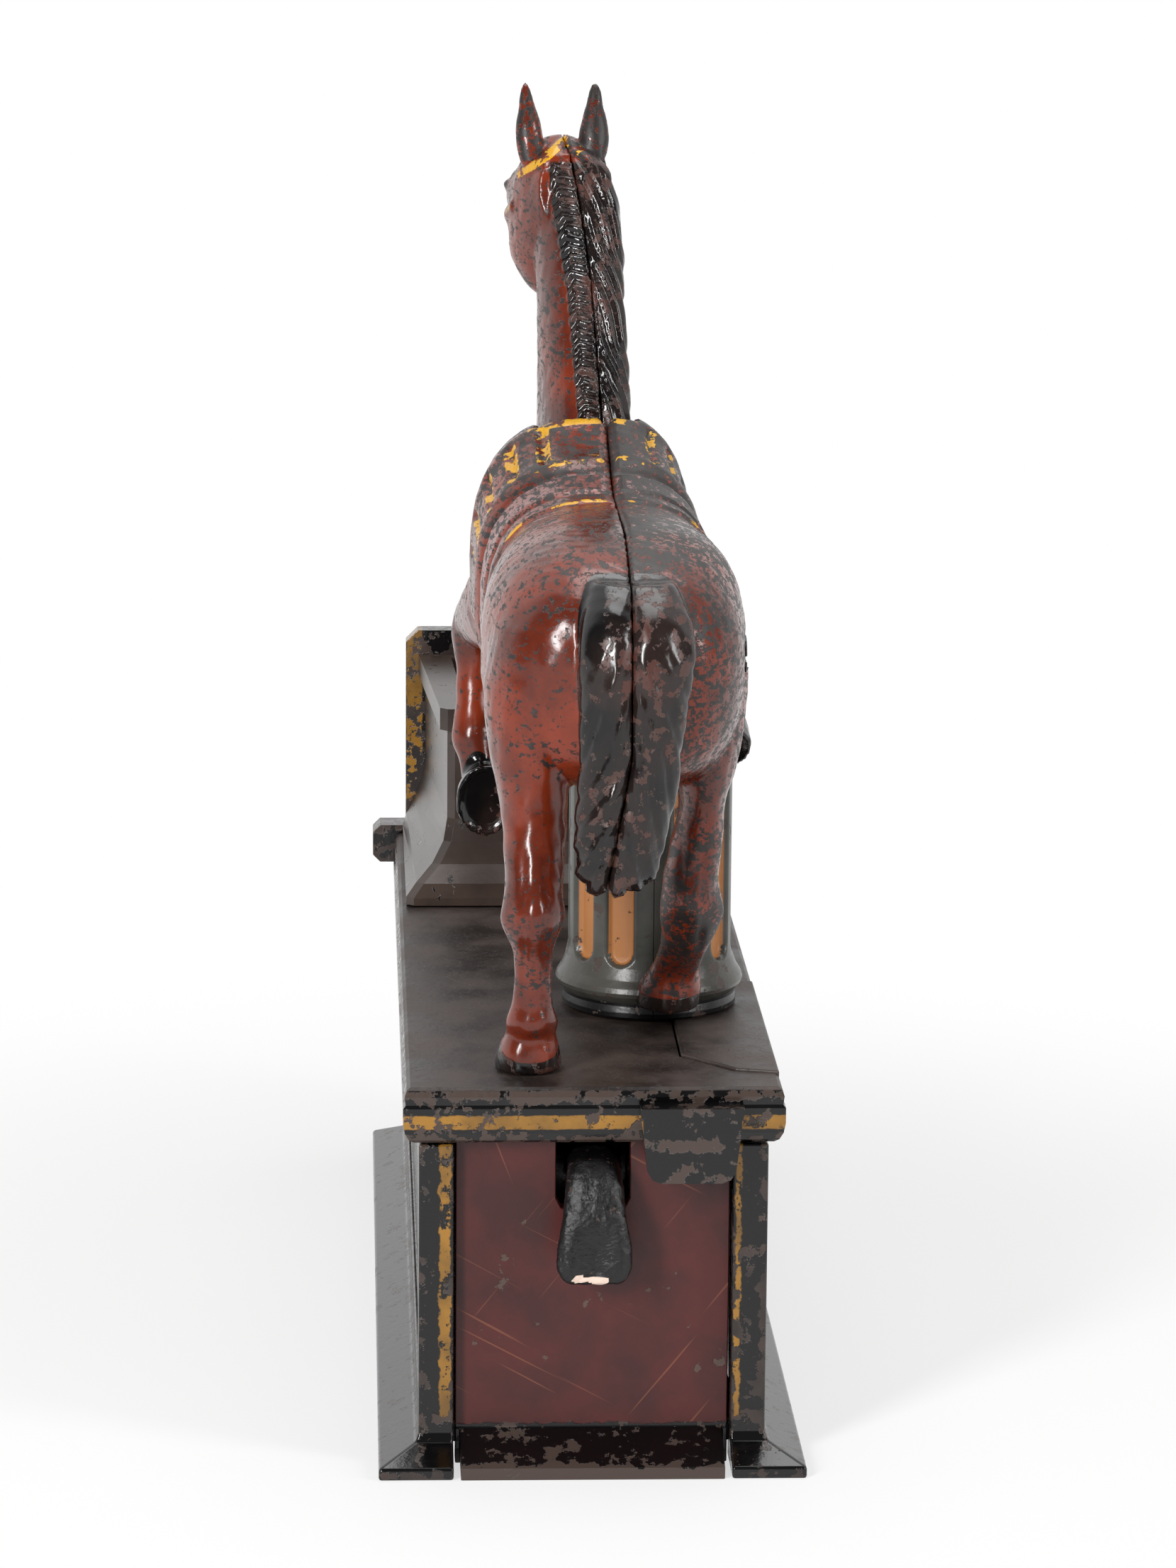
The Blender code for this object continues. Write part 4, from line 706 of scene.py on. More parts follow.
def saddle_place(points, side):
    """Place on the body's skin: y from the column and the angle down from the back's ridge."""
    local = points - FIGURE
    y = local[:, 1]
    table = np.asarray(TORSO)
    top, low, left, right = (np.interp(y, table[:, 0], table[:, col]) for col in (1, 2, 3, 4))
    reach = left if side < 0 else right
    lift = (local[:, 2] - (top + low) / 2) / ((top - low) / 2)
    return y, np.arctan2(np.abs(local[:, 0]) / reach, lift), local


def dress_body(thing, side, sizes, wear):
    """Moulds the saddle cloth, muscles, joints and hair into a half's skin and marks its paints."""
    points, normals = read_skin(thing)
    y, turn, local = saddle_place(points, side)
    outside = ease(np.abs(local[:, 0]), 0.4, 1.2)
    on_body = ease(local[:, 2], 44.0, 50.0) * outside
    tail = tail_share(local)
    bow = 3.2 * turn**2
    rise = np.zeros(len(points))
    trim = np.zeros(len(points))
    cloth = ease(y + 0.4 * bow, 2.4, 3.4) * ease(44.0 - y, 0.0, 1.5) * on_body * ease(2.0 - turn, 0, 0.1)

    # the girth: a strap between two grooves, and the cloth's thin rear edge
    strap = ease(y - bow * 0.1, 9.0, 9.6) * ease(16.6 - y, 0.0, 0.6)
    grooves = bell(y - 8.8, 0.5) + bell(y - 17.0, 0.55)
    rear_edge = bell(y - 3.1 + 0.25 * bow, 0.55)
    # pads between two rolls, parted by long loops down the flank
    pads = ease(y, 17.6, 18.6) * ease(38.0 - y, 0.0, 1.0)
    loop = np.abs((turn - 0.48) % 0.24 - 0.12) / 0.12
    loops = ease(turn, 0.4, 0.44) * ease(1.5 - turn, 0.0, 0.1)
    slot = (1 - ease(1 - loop, 0.0, 0.42)) * loops * ease(y, 20.5, 22.0) * ease(33.5 - y, 0.0, 1.5)
    rolls = bell(y - 20.6, 1.7) + bell(y - 33.4, 2.1)
    lift = sizes.trim_height / MM
    rise += on_body * lift * (0.55 * cloth + 0.5 * strap - 0.8 * grooves + 0.5 * rear_edge)
    rise += on_body * lift * pads * (0.5 + 0.7 * rolls - 1.3 * slot)
    trim += on_body * pads * np.clip(rolls - 0.25, 0, 1) * ease(0.62 - turn, 0.0, 0.1) * 1.2
    bars = ease(loop, 0.5, 0.64) * loops * ease(y, 21.4, 22.2) * ease(32.6 - y, 0, 0.8)
    trim += on_body * bars
    trim += on_body * rear_edge * ease(1.0 - turn, 0.0, 0.2)

    for centre, radii, height in BODY_HILLS:
        rise += hill(local, centre, radii, height)
    # groove beside the tendon below the hock
    shin_x, shin_y = (-13.0, -41.0) if side < 0 else (9.7, -25.0)
    gap = np.abs(np.abs(local[:, 0] - shin_x) - 1.5)
    shin = ease(local[:, 2], 8, 11) * ease(36 - local[:, 2], 0, 8) * ease(shin_y - local[:, 1], -1.0, 1.0)
    rise -= 0.22 * bell(gap, 0.6) * shin

    # strands of the tail: waves that run down it and sweep outward
    depth = sizes.hair_depth / MM
    down = local[:, 2]
    aside = np.abs(local[:, 0] - tail_seam(down))
    sweep = aside + 0.34 * down + 0.5 * np.sin(down * 0.19 + side)
    strands = 0.6 * np.sin(sweep * 2.4 + 0.4 * np.sin(down * 0.31))
    strands += 0.3 * np.sin(sweep * 5.3 + down * 0.11)
    calm = 1 - 0.7 * np.clip(aside / 6.0, 0, 1) ** 2
    rise += tail * depth * strands * ease(66 - down, 0.0, 14.0) * ease(aside, 0.3, 1.2) * calm
    # each half of the tail is a rounded roll
    table = np.asarray(TAIL)[::-1]
    wide = np.interp(down, table[:, 0], table[:, 3])
    roll = aside / wide
    dome = ease(roll, 0.0, 0.28) * (1 - 0.8 * np.clip(roll, 0, 1) ** 2)
    rise += tail * 0.9 * dome * ease(71 - down, 0, 8)
    rise += 0.06 * ripple(local, 3.0, 5)

    write_skin(thing, points + normals * rise[:, None])
    hoof_left = ease(3.4 - local[:, 2] + 0.35 * (local[:, 1] + 40), 0.0, 0.6)
    hooves = np.where(local[:, 1] < 20, hoof_left * ease(6.0 - local[:, 2], 0, 1), 0.0)
    spot, way = ((58.9, 20.2), (-0.963, -0.268)) if side < 0 else ((59.4, 31.2), (-0.69, -0.73))
    past = (local[:, 1] - spot[0]) * way[0] + (local[:, 2] - spot[1]) * way[1]
    folded = ease(past, -0.3, 0.3) * ease(local[:, 1], 45.0, 46.0) * ease(36.0 - local[:, 2], 0.0, 1.0)
    hooves = np.maximum(hooves, folded)
    base = wear.left if side < 0 else wear.right
    spread = base + 0.10 * ease(local[:, 2], 62, 76) + 0.06 * cloth - 0.08 * ease(48 - local[:, 2], 0, 10)
    spread += 0.17 * bell(local[:, 2] - 19, 9)
    mask(thing, "wear", spread)
    mask(thing, "trim", trim)
    mask(thing, "hair", tail)
    mask(thing, "hoof", hooves)
    mask(thing, "strap", strap * cloth)
    spill = np.exp(-(((y + 1.6) / 3.0) ** 2) - ((turn - 1.5) / 0.13) ** 2)
    mask(thing, "spill", spill * on_body * (side < 0))


def horse_half(side, sizes, wear):
    """One body casting: half the body and tail, two legs, hollow inside, with room for the neck."""
    name = "left" if side < 0 else "right"
    body = skin("body", torso_rings(side))
    carve(body, skin("hollow", hollow_rings(BODY_WALL)))
    carve(body, neck_room())
    window_x = (NECK_PIVOT[0] - 3.4, NECK_PIVOT[0] + 4.4)
    window_y = (NECK_PIVOT[1] - 20.0, NECK_PIVOT[1] - 6.0)
    window = block("window", window_x, window_y, (NECK_PIVOT[2] - 13.5, NECK_PIVOT[2] + 10.5))
    carve(body, window)
    bore = circle((COLUMN_X, COLUMN_Y), COLUMN_BORE, 32)
    carve(body, prism("bore", bore, "Z", (0.0, DECK_TOP + 50.0)))
    hind = skin("hind", leg_rings(HIND_LEGS[name]))
    forearm, shank = FORELEGS[name]
    shapes = [body, hind, skin("forearm", limb_rings(forearm))]
    if side < 0:
        shapes.append(skin("shank", limb_rings(shank, 70)))
        shapes.append(skin("hoof", limb_rings(FOLDED_HOOF, 30, 36, 0.9)))
    else:
        shapes.append(skin("shank", limb_rings(shank, 70, 32, 0.9)))
        sink_x = (HORSE_MIDDLE + 15.4, HORSE_MIDDLE + 30)
        carve(body, prism("sink", circle(BODY_SCREW[1:], 3.4, 32), "X", sink_x))
    shapes.append(skin("tail", tail_rings(side)))
    half = pour(f"horse_{name}", shapes, sizes.body_grain)
    dress_body(half, side, sizes, wear)
    return half


def head_place(local):
    """Place in the head: along its axis from the poll, and up from that axis."""
    ahead, high = local[:, 1] - POLL_Y, local[:, 2] - POLL_Z
    along = ahead * math.cos(HEAD_LEAN) - high * math.sin(HEAD_LEAN)
    up = ahead * math.sin(HEAD_LEAN) + high * math.cos(HEAD_LEAN)
    return along, up


def neck_rings(rows=90, around=48):
    """Sections of the neck from crest to throat, leaning a little right at the crest."""
    crest_y, crest_z, throat_y, throat_z, half, x = (col[:, None] for col in spline(NECK, rows).T)
    lift, side = squared(round_turns(around), 2.4)
    share = (1 + lift) / 2
    ring_y = throat_y + (crest_y - throat_y) * share
    ring_z = throat_z + (crest_z - throat_z) * share
    return figure(np.stack([x + 1.6 * lift + side * half, ring_y, ring_z], -1))


def head_rings(rows=80, around=44):
    """Sections of the head square to its axis, deeper below it at the jowl."""
    y, height, up, down, half, x = (col[:, None] for col in spline(HEAD, rows).T)
    lift, side = squared(round_turns(around), 2.2)
    rise = np.where(lift > 0, lift * up, lift * down)
    ring_y = y + rise * math.sin(HEAD_LEAN)
    ring_z = height + rise * math.cos(HEAD_LEAN)
    return figure(np.stack([x + side * half, ring_y, ring_z], -1))


def ear_rings(foot, tip, wide, rows=30):
    """A pointed ear: a leaf-shaped cone flattened from front to back."""
    foot, tip = np.asarray(foot), np.asarray(tip)
    t = np.linspace(0, 1, rows)[:, None]
    girth = np.sqrt(np.clip(1 - t**3.2, 0, 1)) * (0.78 + 0.34 * np.sin(np.pi * np.clip(t * 1.4, 0, 1)))
    girth = np.maximum(girth, 0.06)
    table = np.concatenate([foot + (tip - foot) * t, wide * girth, 1.7 * girth], 1)
    return limb_rings(table, rows, 24)


def seam_x(y):
    """Where the neck's seam stands at a distance along the frame."""
    along, across = np.asarray(NECK_SEAM).T
    return HORSE_MIDDLE + np.interp(y - COLUMN_Y, along, across)


def dress_neck(thing, side, sizes, wear):
    """Moulds mane, bridle, eyes, nostrils and jowl into a neck half's skin and marks its paints."""
    points, normals = read_skin(thing)
    local = points - FIGURE
    along, up = head_place(local)
    table = np.asarray(NECK)
    crest = np.interp(local[:, 2], table[:, 1], table[:, 0])
    depth = local[:, 1] - crest
    off = points[:, 0] - seam_x(points[:, 1])
    neck = ease(120.0 - local[:, 2], 0, 3.0) * ease(local[:, 2], 70.0, 76.0)
    outer = ease(np.abs(off), 0.3, 0.6)
    rise = np.zeros(len(points))
    hair = np.zeros(len(points))
    run = local[:, 2] * 1.07 + 0.3 * depth + 0.25 * np.sin(local[:, 2] * 0.9)
    deep = sizes.hair_depth / MM
    if side < 0:
        rungs = ease(off, -2.7, -2.3) * ease(7.0 - depth, 0.0, 2.0) * neck
        rise += rungs * outer * deep * 1.2 * (np.abs(np.sin(np.pi * (run + 0.35 * off) / 1.5)) - 0.35)
        fringe = ease(off, -3.7, -3.3) * (1 - ease(off, -2.7, -2.3)) * ease(7.5 - depth, 0.0, 2.0) * neck
        rise += fringe * deep * (0.35 + 0.5 * np.sin(2 * np.pi * (run * 0.6 - off * 0.8) / 1.3))
        hair += rungs + fringe
    else:
        fall = neck * ease(11.5 - depth, 0.0, 3.0)
        wave = run * 0.3 + off * 0.95 + 0.4 * np.sin(run * 0.4)
        locks = np.sin(2 * np.pi * wave / 1.9) + 0.4 * np.sin(2 * np.pi * wave / 0.9)
        rise += fall * outer * deep * 0.55 * locks
        hair += fall
    # bridle: crown strap behind the ears, cheek straps and noseband
    lift = sizes.trim_height / MM
    head = ease(along, -4.0, -2.0) * ease(up, -18, -15)
    aside = np.abs(local[:, 0] + 5.4)
    crown = band(local[:, 2] - 121.4 + 0.75 * aside, 0.8) * ease(61.5 - local[:, 1], 0.0, 1.0)
    cheek = band(up + 1.2 + 0.1 * along, 0.9) * ease(along, 2.0, 3.0) * ease(21.5 - along, 0, 0.5)
    nose = band(along - 20.5, 1.0)
    straps = np.clip(crown + (cheek + nose) * head, 0, 1) * ease(123.5 - local[:, 2], 0.0, 1.0)
    rise += lift * straps * outer
    middle = np.interp(local[:, 1], np.asarray(HEAD)[:, 0], np.asarray(HEAD)[:, 5])
    cheeks = np.abs(local[:, 0] - middle)
    for spot, radii, height in HEAD_HILLS:
        rise += hill(np.stack([along, up, cheeks], -1), spot, radii, height) * head
    # hollow of the ears, which face forward
    for foot, tip, wide in EARS:
        axis = np.asarray(tip) - np.asarray(foot)
        t = ((local - foot) @ axis) / (axis @ axis)
        aside = local[:, 0] - (foot[0] + t * axis[0])
        front = ease(normals[:, 1], 0.2, 0.6)
        rise -= 0.8 * bell(aside, 0.55 * wide) * ease(t, 0.12, 0.3) * ease(0.85 - t, 0, 0.2) * front
    rise += 0.05 * ripple(local, 2.6, 8)
    write_skin(thing, points + normals * rise[:, None])
    ears = ease(local[:, 2], 117.5, 119.5) * ease(np.abs(local[:, 0] + 6.0), 2.4, 3.2)
    base = 0.34 if side < 0 else wear.right
    nostril = hill(np.stack([along, up], -1), (26.4, 1.0), (1.4, 1.2), 1.0) * (cheeks > 2.0)
    spread = base + 0.14 * ears + 0.03 * head * ease(along, 2.0, 6.0) - nostril
    mask(thing, "wear", spread)
    mask(thing, "trim", straps * np.where(crown > 0.4, 1.0, 0.42))
    mask(thing, "hair", hair)
    eyes = hill(np.stack([along, up], -1), EYE, (1.5, 1.1), 1.0) * (cheeks > 2.0)
    mask(thing, "hoof", eyes)


def neck_half(side, sizes, wear):
    """One half of the nodding neck and head, split along a yawed seam, with the rod's channel."""
    name = "left" if side < 0 else "right"
    x, y, z = NECK_PIVOT
    hub = prism("hub", circle((y, z), HUB_RADIUS, 64), "X", (x - HUB_WIDTH / 2, x + HUB_WIDTH / 2))
    shapes = [skin("neck", neck_rings()), hub, skin("head", head_rings())]
    shapes += [skin("ear", ear_rings(*ear)) for ear in EARS]
    along, across = np.asarray(NECK_SEAM).T
    seam = np.stack([HORSE_MIDDLE + across + side * SEAM, COLUMN_Y + along], -1).tolist()
    outline = seam + [(x + side * 60.0, seam[-1][1]), (x + side * 60.0, seam[0][1])]
    slit = figure([-8.2, 84.0, 103.2])
    way = np.array([math.cos(HEAD_LEAN), -math.sin(HEAD_LEAN)])
    up = np.array([math.sin(HEAD_LEAN), math.cos(HEAD_LEAN)]) * 0.9
    near, far = slit[1:] - 5 * way, slit[1:] + 8 * way
    mouth = [near - up, far - up, far + up, near + up]
    kept = []
    for shape in shapes:
        carve(shape, prism("side", outline, "Z", (0.0, 260.0)), "INTERSECT")
        carve(shape, prism("mouth", mouth, "X", (x - 40.0, x + 40.0)))
        carve(shape, prism("pin", circle((y, z), PIN_BORE, BORE_SIDES), "X", (x - 20.0, x + 20.0)))
        carve(shape, prism("crank", circle(CRANK_PIN[1:], CRANK_BORE, BORE_SIDES), "X", (x - 5.6, x + 5.6)))
        if side < 0:
            carve(shape, block("channel", (x - 2.7, x + 9.0), (y - 17.0, y - 3.2), (z - 17.0, z - 1.2)))
        if len(shape.data.vertices):
            kept.append(shape)
        else:
            bpy.data.objects.remove(shape)
    half = pour(f"neck_{name}", kept, sizes.neck_grain)
    dress_neck(half, side, sizes, wear)
    return half


def column_half(side):
    """Half a fluted column: r(turn, height) is a bell foot and shaft with ten round-ended flutes."""
    rows, around = 150, 121
    profile = np.array(COLUMN_PROFILE)
    height = np.interp(np.linspace(0, 1, rows), np.linspace(0, 1, len(profile)), profile[:, 1])
    height = np.sort(np.concatenate([height, np.linspace(8, 37, 60)]))
    radius = np.interp(height, profile[:, 1], profile[:, 0])
    turn = np.linspace(-np.pi / 2, np.pi / 2, around)
    if side < 0:
        turn = turn + np.pi
    from_seam = np.abs((turn + 1.5 * np.pi) % (2 * np.pi) - np.pi)
    places = np.radians([24.0, 57.0, 90.0, 123.0, 156.0])
    aside = np.abs(np.pi - from_seam[:, None] - places).min(1) * COLUMN_RADIUS
    end = np.minimum(height - FLUTE_LOW, FLUTE_HIGH - height)[:, None]
    run_out = np.clip(FLUTE_HALF - end, 0, None)
    inside = FLUTE_HALF - np.sqrt(aside[None] ** 2 + run_out**2)
    flute = ease(inside, 0.0, 0.7) * (end > 0)
    reach = radius[:, None] - FLUTE_DEPTH * flute
    bore = np.full_like(reach, COLUMN_BORE)
    tall = np.repeat(height[:, None], around, 1)
    outer, inner = (np.stack([r * np.cos(turn), r * np.sin(turn), tall], -1) for r in (reach, bore))
    middle_line = np.array([COLUMN_X + side * SEAM, COLUMN_Y, DECK_TOP])
    ring = np.concatenate([outer, inner[:, ::-1]], 1) + middle_line
    rows = len(height)
    faces = wall_faces(rows, 2 * around).tolist()
    col = np.arange(around - 1)
    back = 2 * around - 1 - col
    for level in (0, rows - 1):
        start = level * 2 * around
        cap = np.stack([start + col, start + col + 1, start + back - 1, start + back], -1)
        faces += cap.tolist()
    half = put("column_left" if side < 0 else "column_right", ring.reshape(-1, 3), faces)
    half.data.shade_smooth()
    half.data.set_sharp_from_angle(angle=math.radians(50))
    mask(half, "flute", np.concatenate([ease(flute, 0.55, 0.8), np.zeros_like(flute)], 1).ravel())
    return half


def footplate():
    """The right half's foot, let into the deck, its edge eased over."""
    inner, edge = 13.0, X_BOX + 1.8
    outline = [
        (inner, COLUMN_Y - 16.0),
        (inner, COLUMN_Y - 31.8),
        (20.2, COLUMN_Y - 39.9),
        (edge, COLUMN_Y - 41.5),
        (edge, COLUMN_Y + 12.0),
        (inner, COLUMN_Y + 12.0),
    ]
    plate = prism("footplate", outline, "Z", (DECK_TOP - 2.0, DECK_TOP + 0.4))
    round_edges(plate, 0.3 * MM)
    return settle(plate)


def round_edges(thing, width):
    """Rounds the edges of a plain casting: flats are merged, then sharp edges are eased over."""
    weld = thing.modifiers.new("weld", "WELD")
    weld.merge_threshold = 0.002 * MM
    flats = thing.modifiers.new("flats", "DECIMATE")
    flats.decimate_type = "DISSOLVE"
    flats.angle_limit = math.radians(0.5)
    soft = thing.modifiers.new("edges", "BEVEL")
    soft.width = width
    soft.segments = 3
    soft.limit_method = "ANGLE"
    soft.angle_limit = math.radians(32)
    soft.harden_normals = True


def thumb_lever(sizes):
    """Thumb lever: a spoon-shaped tongue outside, hub, rod arm and link arm inside."""
    y, z = LEVER_PIVOT[1:]
    table = spline(TONGUE, 70)
    path = np.stack([np.zeros(70), Y_REAR + table[:, 0], z + table[:, 1]], -1)
    along = np.gradient(path, axis=0)
    along /= np.linalg.norm(along, axis=1)[:, None]
    across = np.array([1.0, 0.0, 0.0])
    out = np.cross(along, across)
    wide, thick = squared(round_turns(48), 2.5)
    ring = path[:, None] + table[:, None, 2:3] * wide[None, :, None] * across
    ring = ring + out[:, None] * (table[:, 3:4] * thick)[..., None]
    hub = prism("hub", circle((y, z), 4.0, 40), "X", (LEVER_LEFT, 5.0))
    reach = COLUMN_Y - y
    drop = reach * math.tan(math.radians(9.0))
    share = np.array([0.0, 0.55, 1.0])
    half, low, high = np.array([3.4, 2.6, 3.4]), np.array([2.6, 2.2, 2.0]), np.array([2.6, 2.0, 0.9])
    arm_x, arm_y, arm_z = COLUMN_X * share, y + reach * share, z - drop * share
    arm = np.stack(
        [
            np.stack([arm_x - half, arm_y, arm_z - low], -1),
            np.stack([arm_x + half, arm_y, arm_z - low], -1),
            np.stack([arm_x + half, arm_y, arm_z + high], -1),
            np.stack([arm_x - half, arm_y, arm_z + high], -1),
        ],
        1,
    )
    pad_z = z - drop - 2.2
    pad = prism("pad", circle((COLUMN_X, COLUMN_Y), 4.4, 32), "Z", (pad_z, pad_z + 4.2))
    link = LINK_PIN[1:]
    link_arm = prism("link_arm", stadium((y, z), link, 3.0), "X", (LEVER_LEFT, LEVER_LEFT + 2.4))
    shapes = [skin("tongue", ring), hub, skin("arm", arm), pad, link_arm]
    for shape in shapes:
        carve(shape, prism("pin", circle((y, z), PIN_BORE, BORE_SIDES), "X", (-30.0, 20.0)))
        carve(shape, prism("eye", circle(link, LINK_BORE, BORE_SIDES), "X", (-30.0, 0.0)))
    lever = pour("thumb_lever", shapes, sizes.lever_grain)
    points, normals = read_skin(lever)
    down = z - points[:, 2]
    facing = ease(-normals[:, 1], 0.1, 0.5) * ease(Y_REAR - 0.5 - points[:, 1], 0.0, 1.0)
    spoon = -0.75 * bell(points[:, 0], 2.0) * ease(down, 3.0, 8.5) * ease(13.2 - down, 0.0, 2.0)
    rims = 0.3 * bell(np.abs(points[:, 0]) - 3.6, 1.0) * ease(down, 2.0, 6.0)
    rise = facing * (spoon + rims) + 0.05 * ripple(points, 1.6, 3) + 0.04 * ripple(points, 0.9, 4)
    write_skin(lever, points + normals * rise[:, None])
    spots = hill(points, (-2.2, Y_REAR - 5.0, z - 12.0), (0.9, 3.0, 0.6), 1.0)
    spots += hill(points, (0.6, Y_REAR - 5.0, z - 12.3), (1.5, 3.0, 0.7), 1.0)
    mask(lever, "chips", ease(spots, 0.35, 0.45))
    return lever


def feed(tree, value, socket):
    """Wires a socket into another, or sets its value."""
    if isinstance(value, bpy.types.NodeSocket):
        tree.links.new(value, socket)
    else:
        socket.default_value = value


def place(tree, kind, settings=None, **inputs):
    """A node with its settings and its inputs fed by name; a name's underscores are spaces."""
    made = tree.nodes.new(kind)
    for key, value in (settings or {}).items():
        setattr(made, key, value)
    for key, value in inputs.items():
        feed(tree, value, made.inputs[key.replace("_", " ")])
    return made


def calc(tree, operation, first, second=0.0):
    """One piece of arithmetic on one or two values."""
    made = place(tree, "ShaderNodeMath", {"operation": operation})
    feed(tree, first, made.inputs[0])
    feed(tree, second, made.inputs[1])
    return made.outputs[0]


def times(tree, first, second):
    """The product of two values."""
    return calc(tree, "MULTIPLY", first, second)


def plus(tree, first, second):
    """The sum of two values."""
    return calc(tree, "ADD", first, second)


def minus(tree, first, second):
    """The first value less the second."""
    return calc(tree, "SUBTRACT", first, second)


def largest(tree, first, second):
    """The larger of two values."""
    return calc(tree, "MAXIMUM", first, second)


def ramp(tree, value, low, high):
    """A smooth step from 0 at low to 1 at high."""
    made = place(tree, "ShaderNodeMapRange", {"interpolation_type": "SMOOTHSTEP"}, Value=value)
    feed(tree, low, made.inputs["From Min"])
    feed(tree, high, made.inputs["From Max"])
    return made.outputs["Result"]


def layer(tree, share, under, over):
    """One colour over another by a share."""
    made = place(tree, "ShaderNodeMix", {"data_type": "RGBA"})
    feed(tree, share, made.inputs[0])
    feed(tree, under if isinstance(under, bpy.types.NodeSocket) else (*under, 1.0), made.inputs[6])
    feed(tree, over if isinstance(over, bpy.types.NodeSocket) else (*over, 1.0), made.inputs[7])
    return made.outputs[2]


def between(tree, share, low, high):
    """A value between two by a share."""
    made = place(tree, "ShaderNodeMix", {"data_type": "FLOAT"})
    feed(tree, share, made.inputs[0])
    feed(tree, low, made.inputs[2])
    feed(tree, high, made.inputs[3])
    return made.outputs[0]


def noise(tree, vector, scale, detail=4.0, roughness=0.55):
    """Cloud noise near 0.5."""
    made = place(tree, "ShaderNodeTexNoise", Vector=vector, Detail=detail, Roughness=roughness)
    feed(tree, scale, made.inputs["Scale"])
    return made.outputs[0]


def new_group(name, inputs, outputs):
    """An empty node group with named float and vector sockets; gives the tree and its two ends."""
    tree = bpy.data.node_groups.new(name, "ShaderNodeTree")
    for label in inputs:
        kind = "NodeSocketVector" if label == "Vector" else "NodeSocketFloat"
        tree.interface.new_socket(label, in_out="INPUT", socket_type=kind)
    for label in outputs:
        tree.interface.new_socket(label, in_out="OUTPUT", socket_type="NodeSocketFloat")
    return tree, tree.nodes.new("NodeGroupInput"), tree.nodes.new("NodeGroupOutput")


def chip_group():
    """Chipped paint: two clouds of noise against a level that falls as wear rises."""
    tree, start, end = new_group("Chipped paint", ("Vector", "Wear", "Scale"), ("Bare", "Rim", "Height"))
    vector, wear, scale = start.outputs[:3]
    fine = noise(tree, vector, scale, 9.0, 0.62)
    coarse = noise(tree, vector, times(tree, scale, 0.16), 3.0)
    cloud = plus(tree, times(tree, fine, 0.78), times(tree, coarse, 0.22))
    level = minus(tree, 0.70, times(tree, wear, 0.40))
    bare = ramp(tree, cloud, minus(tree, level, 0.008), plus(tree, level, 0.008))
    near = ramp(tree, cloud, minus(tree, level, 0.035), level)
    rim = minus(tree, near, bare)
    feed(tree, bare, end.inputs["Bare"])
    feed(tree, rim, end.inputs["Rim"])
    feed(tree, minus(tree, 1.0, bare), end.inputs["Height"])
    return tree


def cast_group():
    """Cast skin: a pebbled height and a slow change of tone."""
    tree, start, end = new_group("Cast skin", ("Vector", "Scale"), ("Height", "Tone", "Specks"))
    vector, scale = start.outputs[:2]
    pebble = noise(tree, vector, scale, 6.0, 0.6)
    lumps = noise(tree, vector, times(tree, scale, 0.3), 2.0)
    feed(tree, plus(tree, pebble, times(tree, lumps, 0.8)), end.inputs["Height"])
    tone = noise(tree, vector, times(tree, scale, 0.06), 5.0)
    feed(tree, ramp(tree, tone, 0.35, 0.65), end.inputs["Tone"])
    dots = noise(tree, vector, times(tree, scale, 1.6), 2.0, 0.4)
    feed(tree, ramp(tree, dots, 0.66, 0.72), end.inputs["Specks"])
    return tree


def line_group():
    """Painted line: full between two edges, each edge frayed by noise and wear."""
    tree, start, end = new_group("Painted line", ("Vector", "Value", "Low", "High", "Fray"), ("Line",))
    vector, value, low, high, fray = start.outputs[:5]
    shift = times(tree, minus(tree, noise(tree, vector, 700.0, 4.0), 0.5), fray)
    moved = plus(tree, value, shift)
    soft = 0.00012
    rising = ramp(tree, moved, minus(tree, low, soft), plus(tree, low, soft))
    falling = ramp(tree, moved, plus(tree, high, soft), minus(tree, high, soft))
    line = times(tree, rising, falling)
    gone = ramp(tree, noise(tree, vector, 420.0, 7.0, 0.65), 0.52, 0.57)
    feed(tree, times(tree, line, minus(tree, 1.0, gone)), end.inputs["Line"])
    return tree


def scratch_group():
    """Scratches: hairlines of stretched noise in two directions, and a few pale nicks."""
    tree, start, end = new_group("Scratches", ("Vector",), ("Lines", "Nicks"))
    vector = start.outputs[0]
    lines = None
    for lean, wide in ((0.5, 1500.0), (-0.9, 1900.0), (1.2, 1300.0)):
        turned = place(tree, "ShaderNodeMapping", {"vector_type": "TEXTURE"}, Vector=vector)
        turned.inputs["Rotation"].default_value = (0.0, lean, 0.0)
        turned.inputs["Scale"].default_value = (50.0, 1.0, 1.0)
        streak = noise(tree, turned.outputs[0], wide, 1.0, 0.3)
        thin = ramp(tree, streak, 0.74, 0.78)
        lines = thin if lines is None else largest(tree, lines, thin)
    feed(tree, lines, end.inputs["Lines"])
    feed(tree, ramp(tree, noise(tree, vector, 260.0, 6.0, 0.6), 0.66, 0.68), end.inputs["Nicks"])
    return tree


def use(tree, make, name, **inputs):
    """A shared effect placed with its own values; it is made the first time it is asked for."""
    shared = bpy.data.node_groups.get(name) or make()
    return place(tree, "ShaderNodeGroup", {"node_tree": shared}, **inputs).outputs


def cast_skin(tree, spot, scale):
    """The cast skin's height, tone and specks."""
    return use(tree, cast_group, "Cast skin", Vector=spot, Scale=scale)


def chipped(tree, spot, wear, scale):
    """Chipped paint's bare share, rim and height."""
    return use(tree, chip_group, "Chipped paint", Vector=spot, Wear=wear, Scale=scale)


def painted_line(tree, spot, value, low, high, fray):
    """The share of a painted line between two levels in millimetres."""
    ends = {"Low": low * MM, "High": high * MM}
    return use(tree, line_group, "Painted line", Vector=spot, Value=value, Fray=fray, **ends)["Line"]


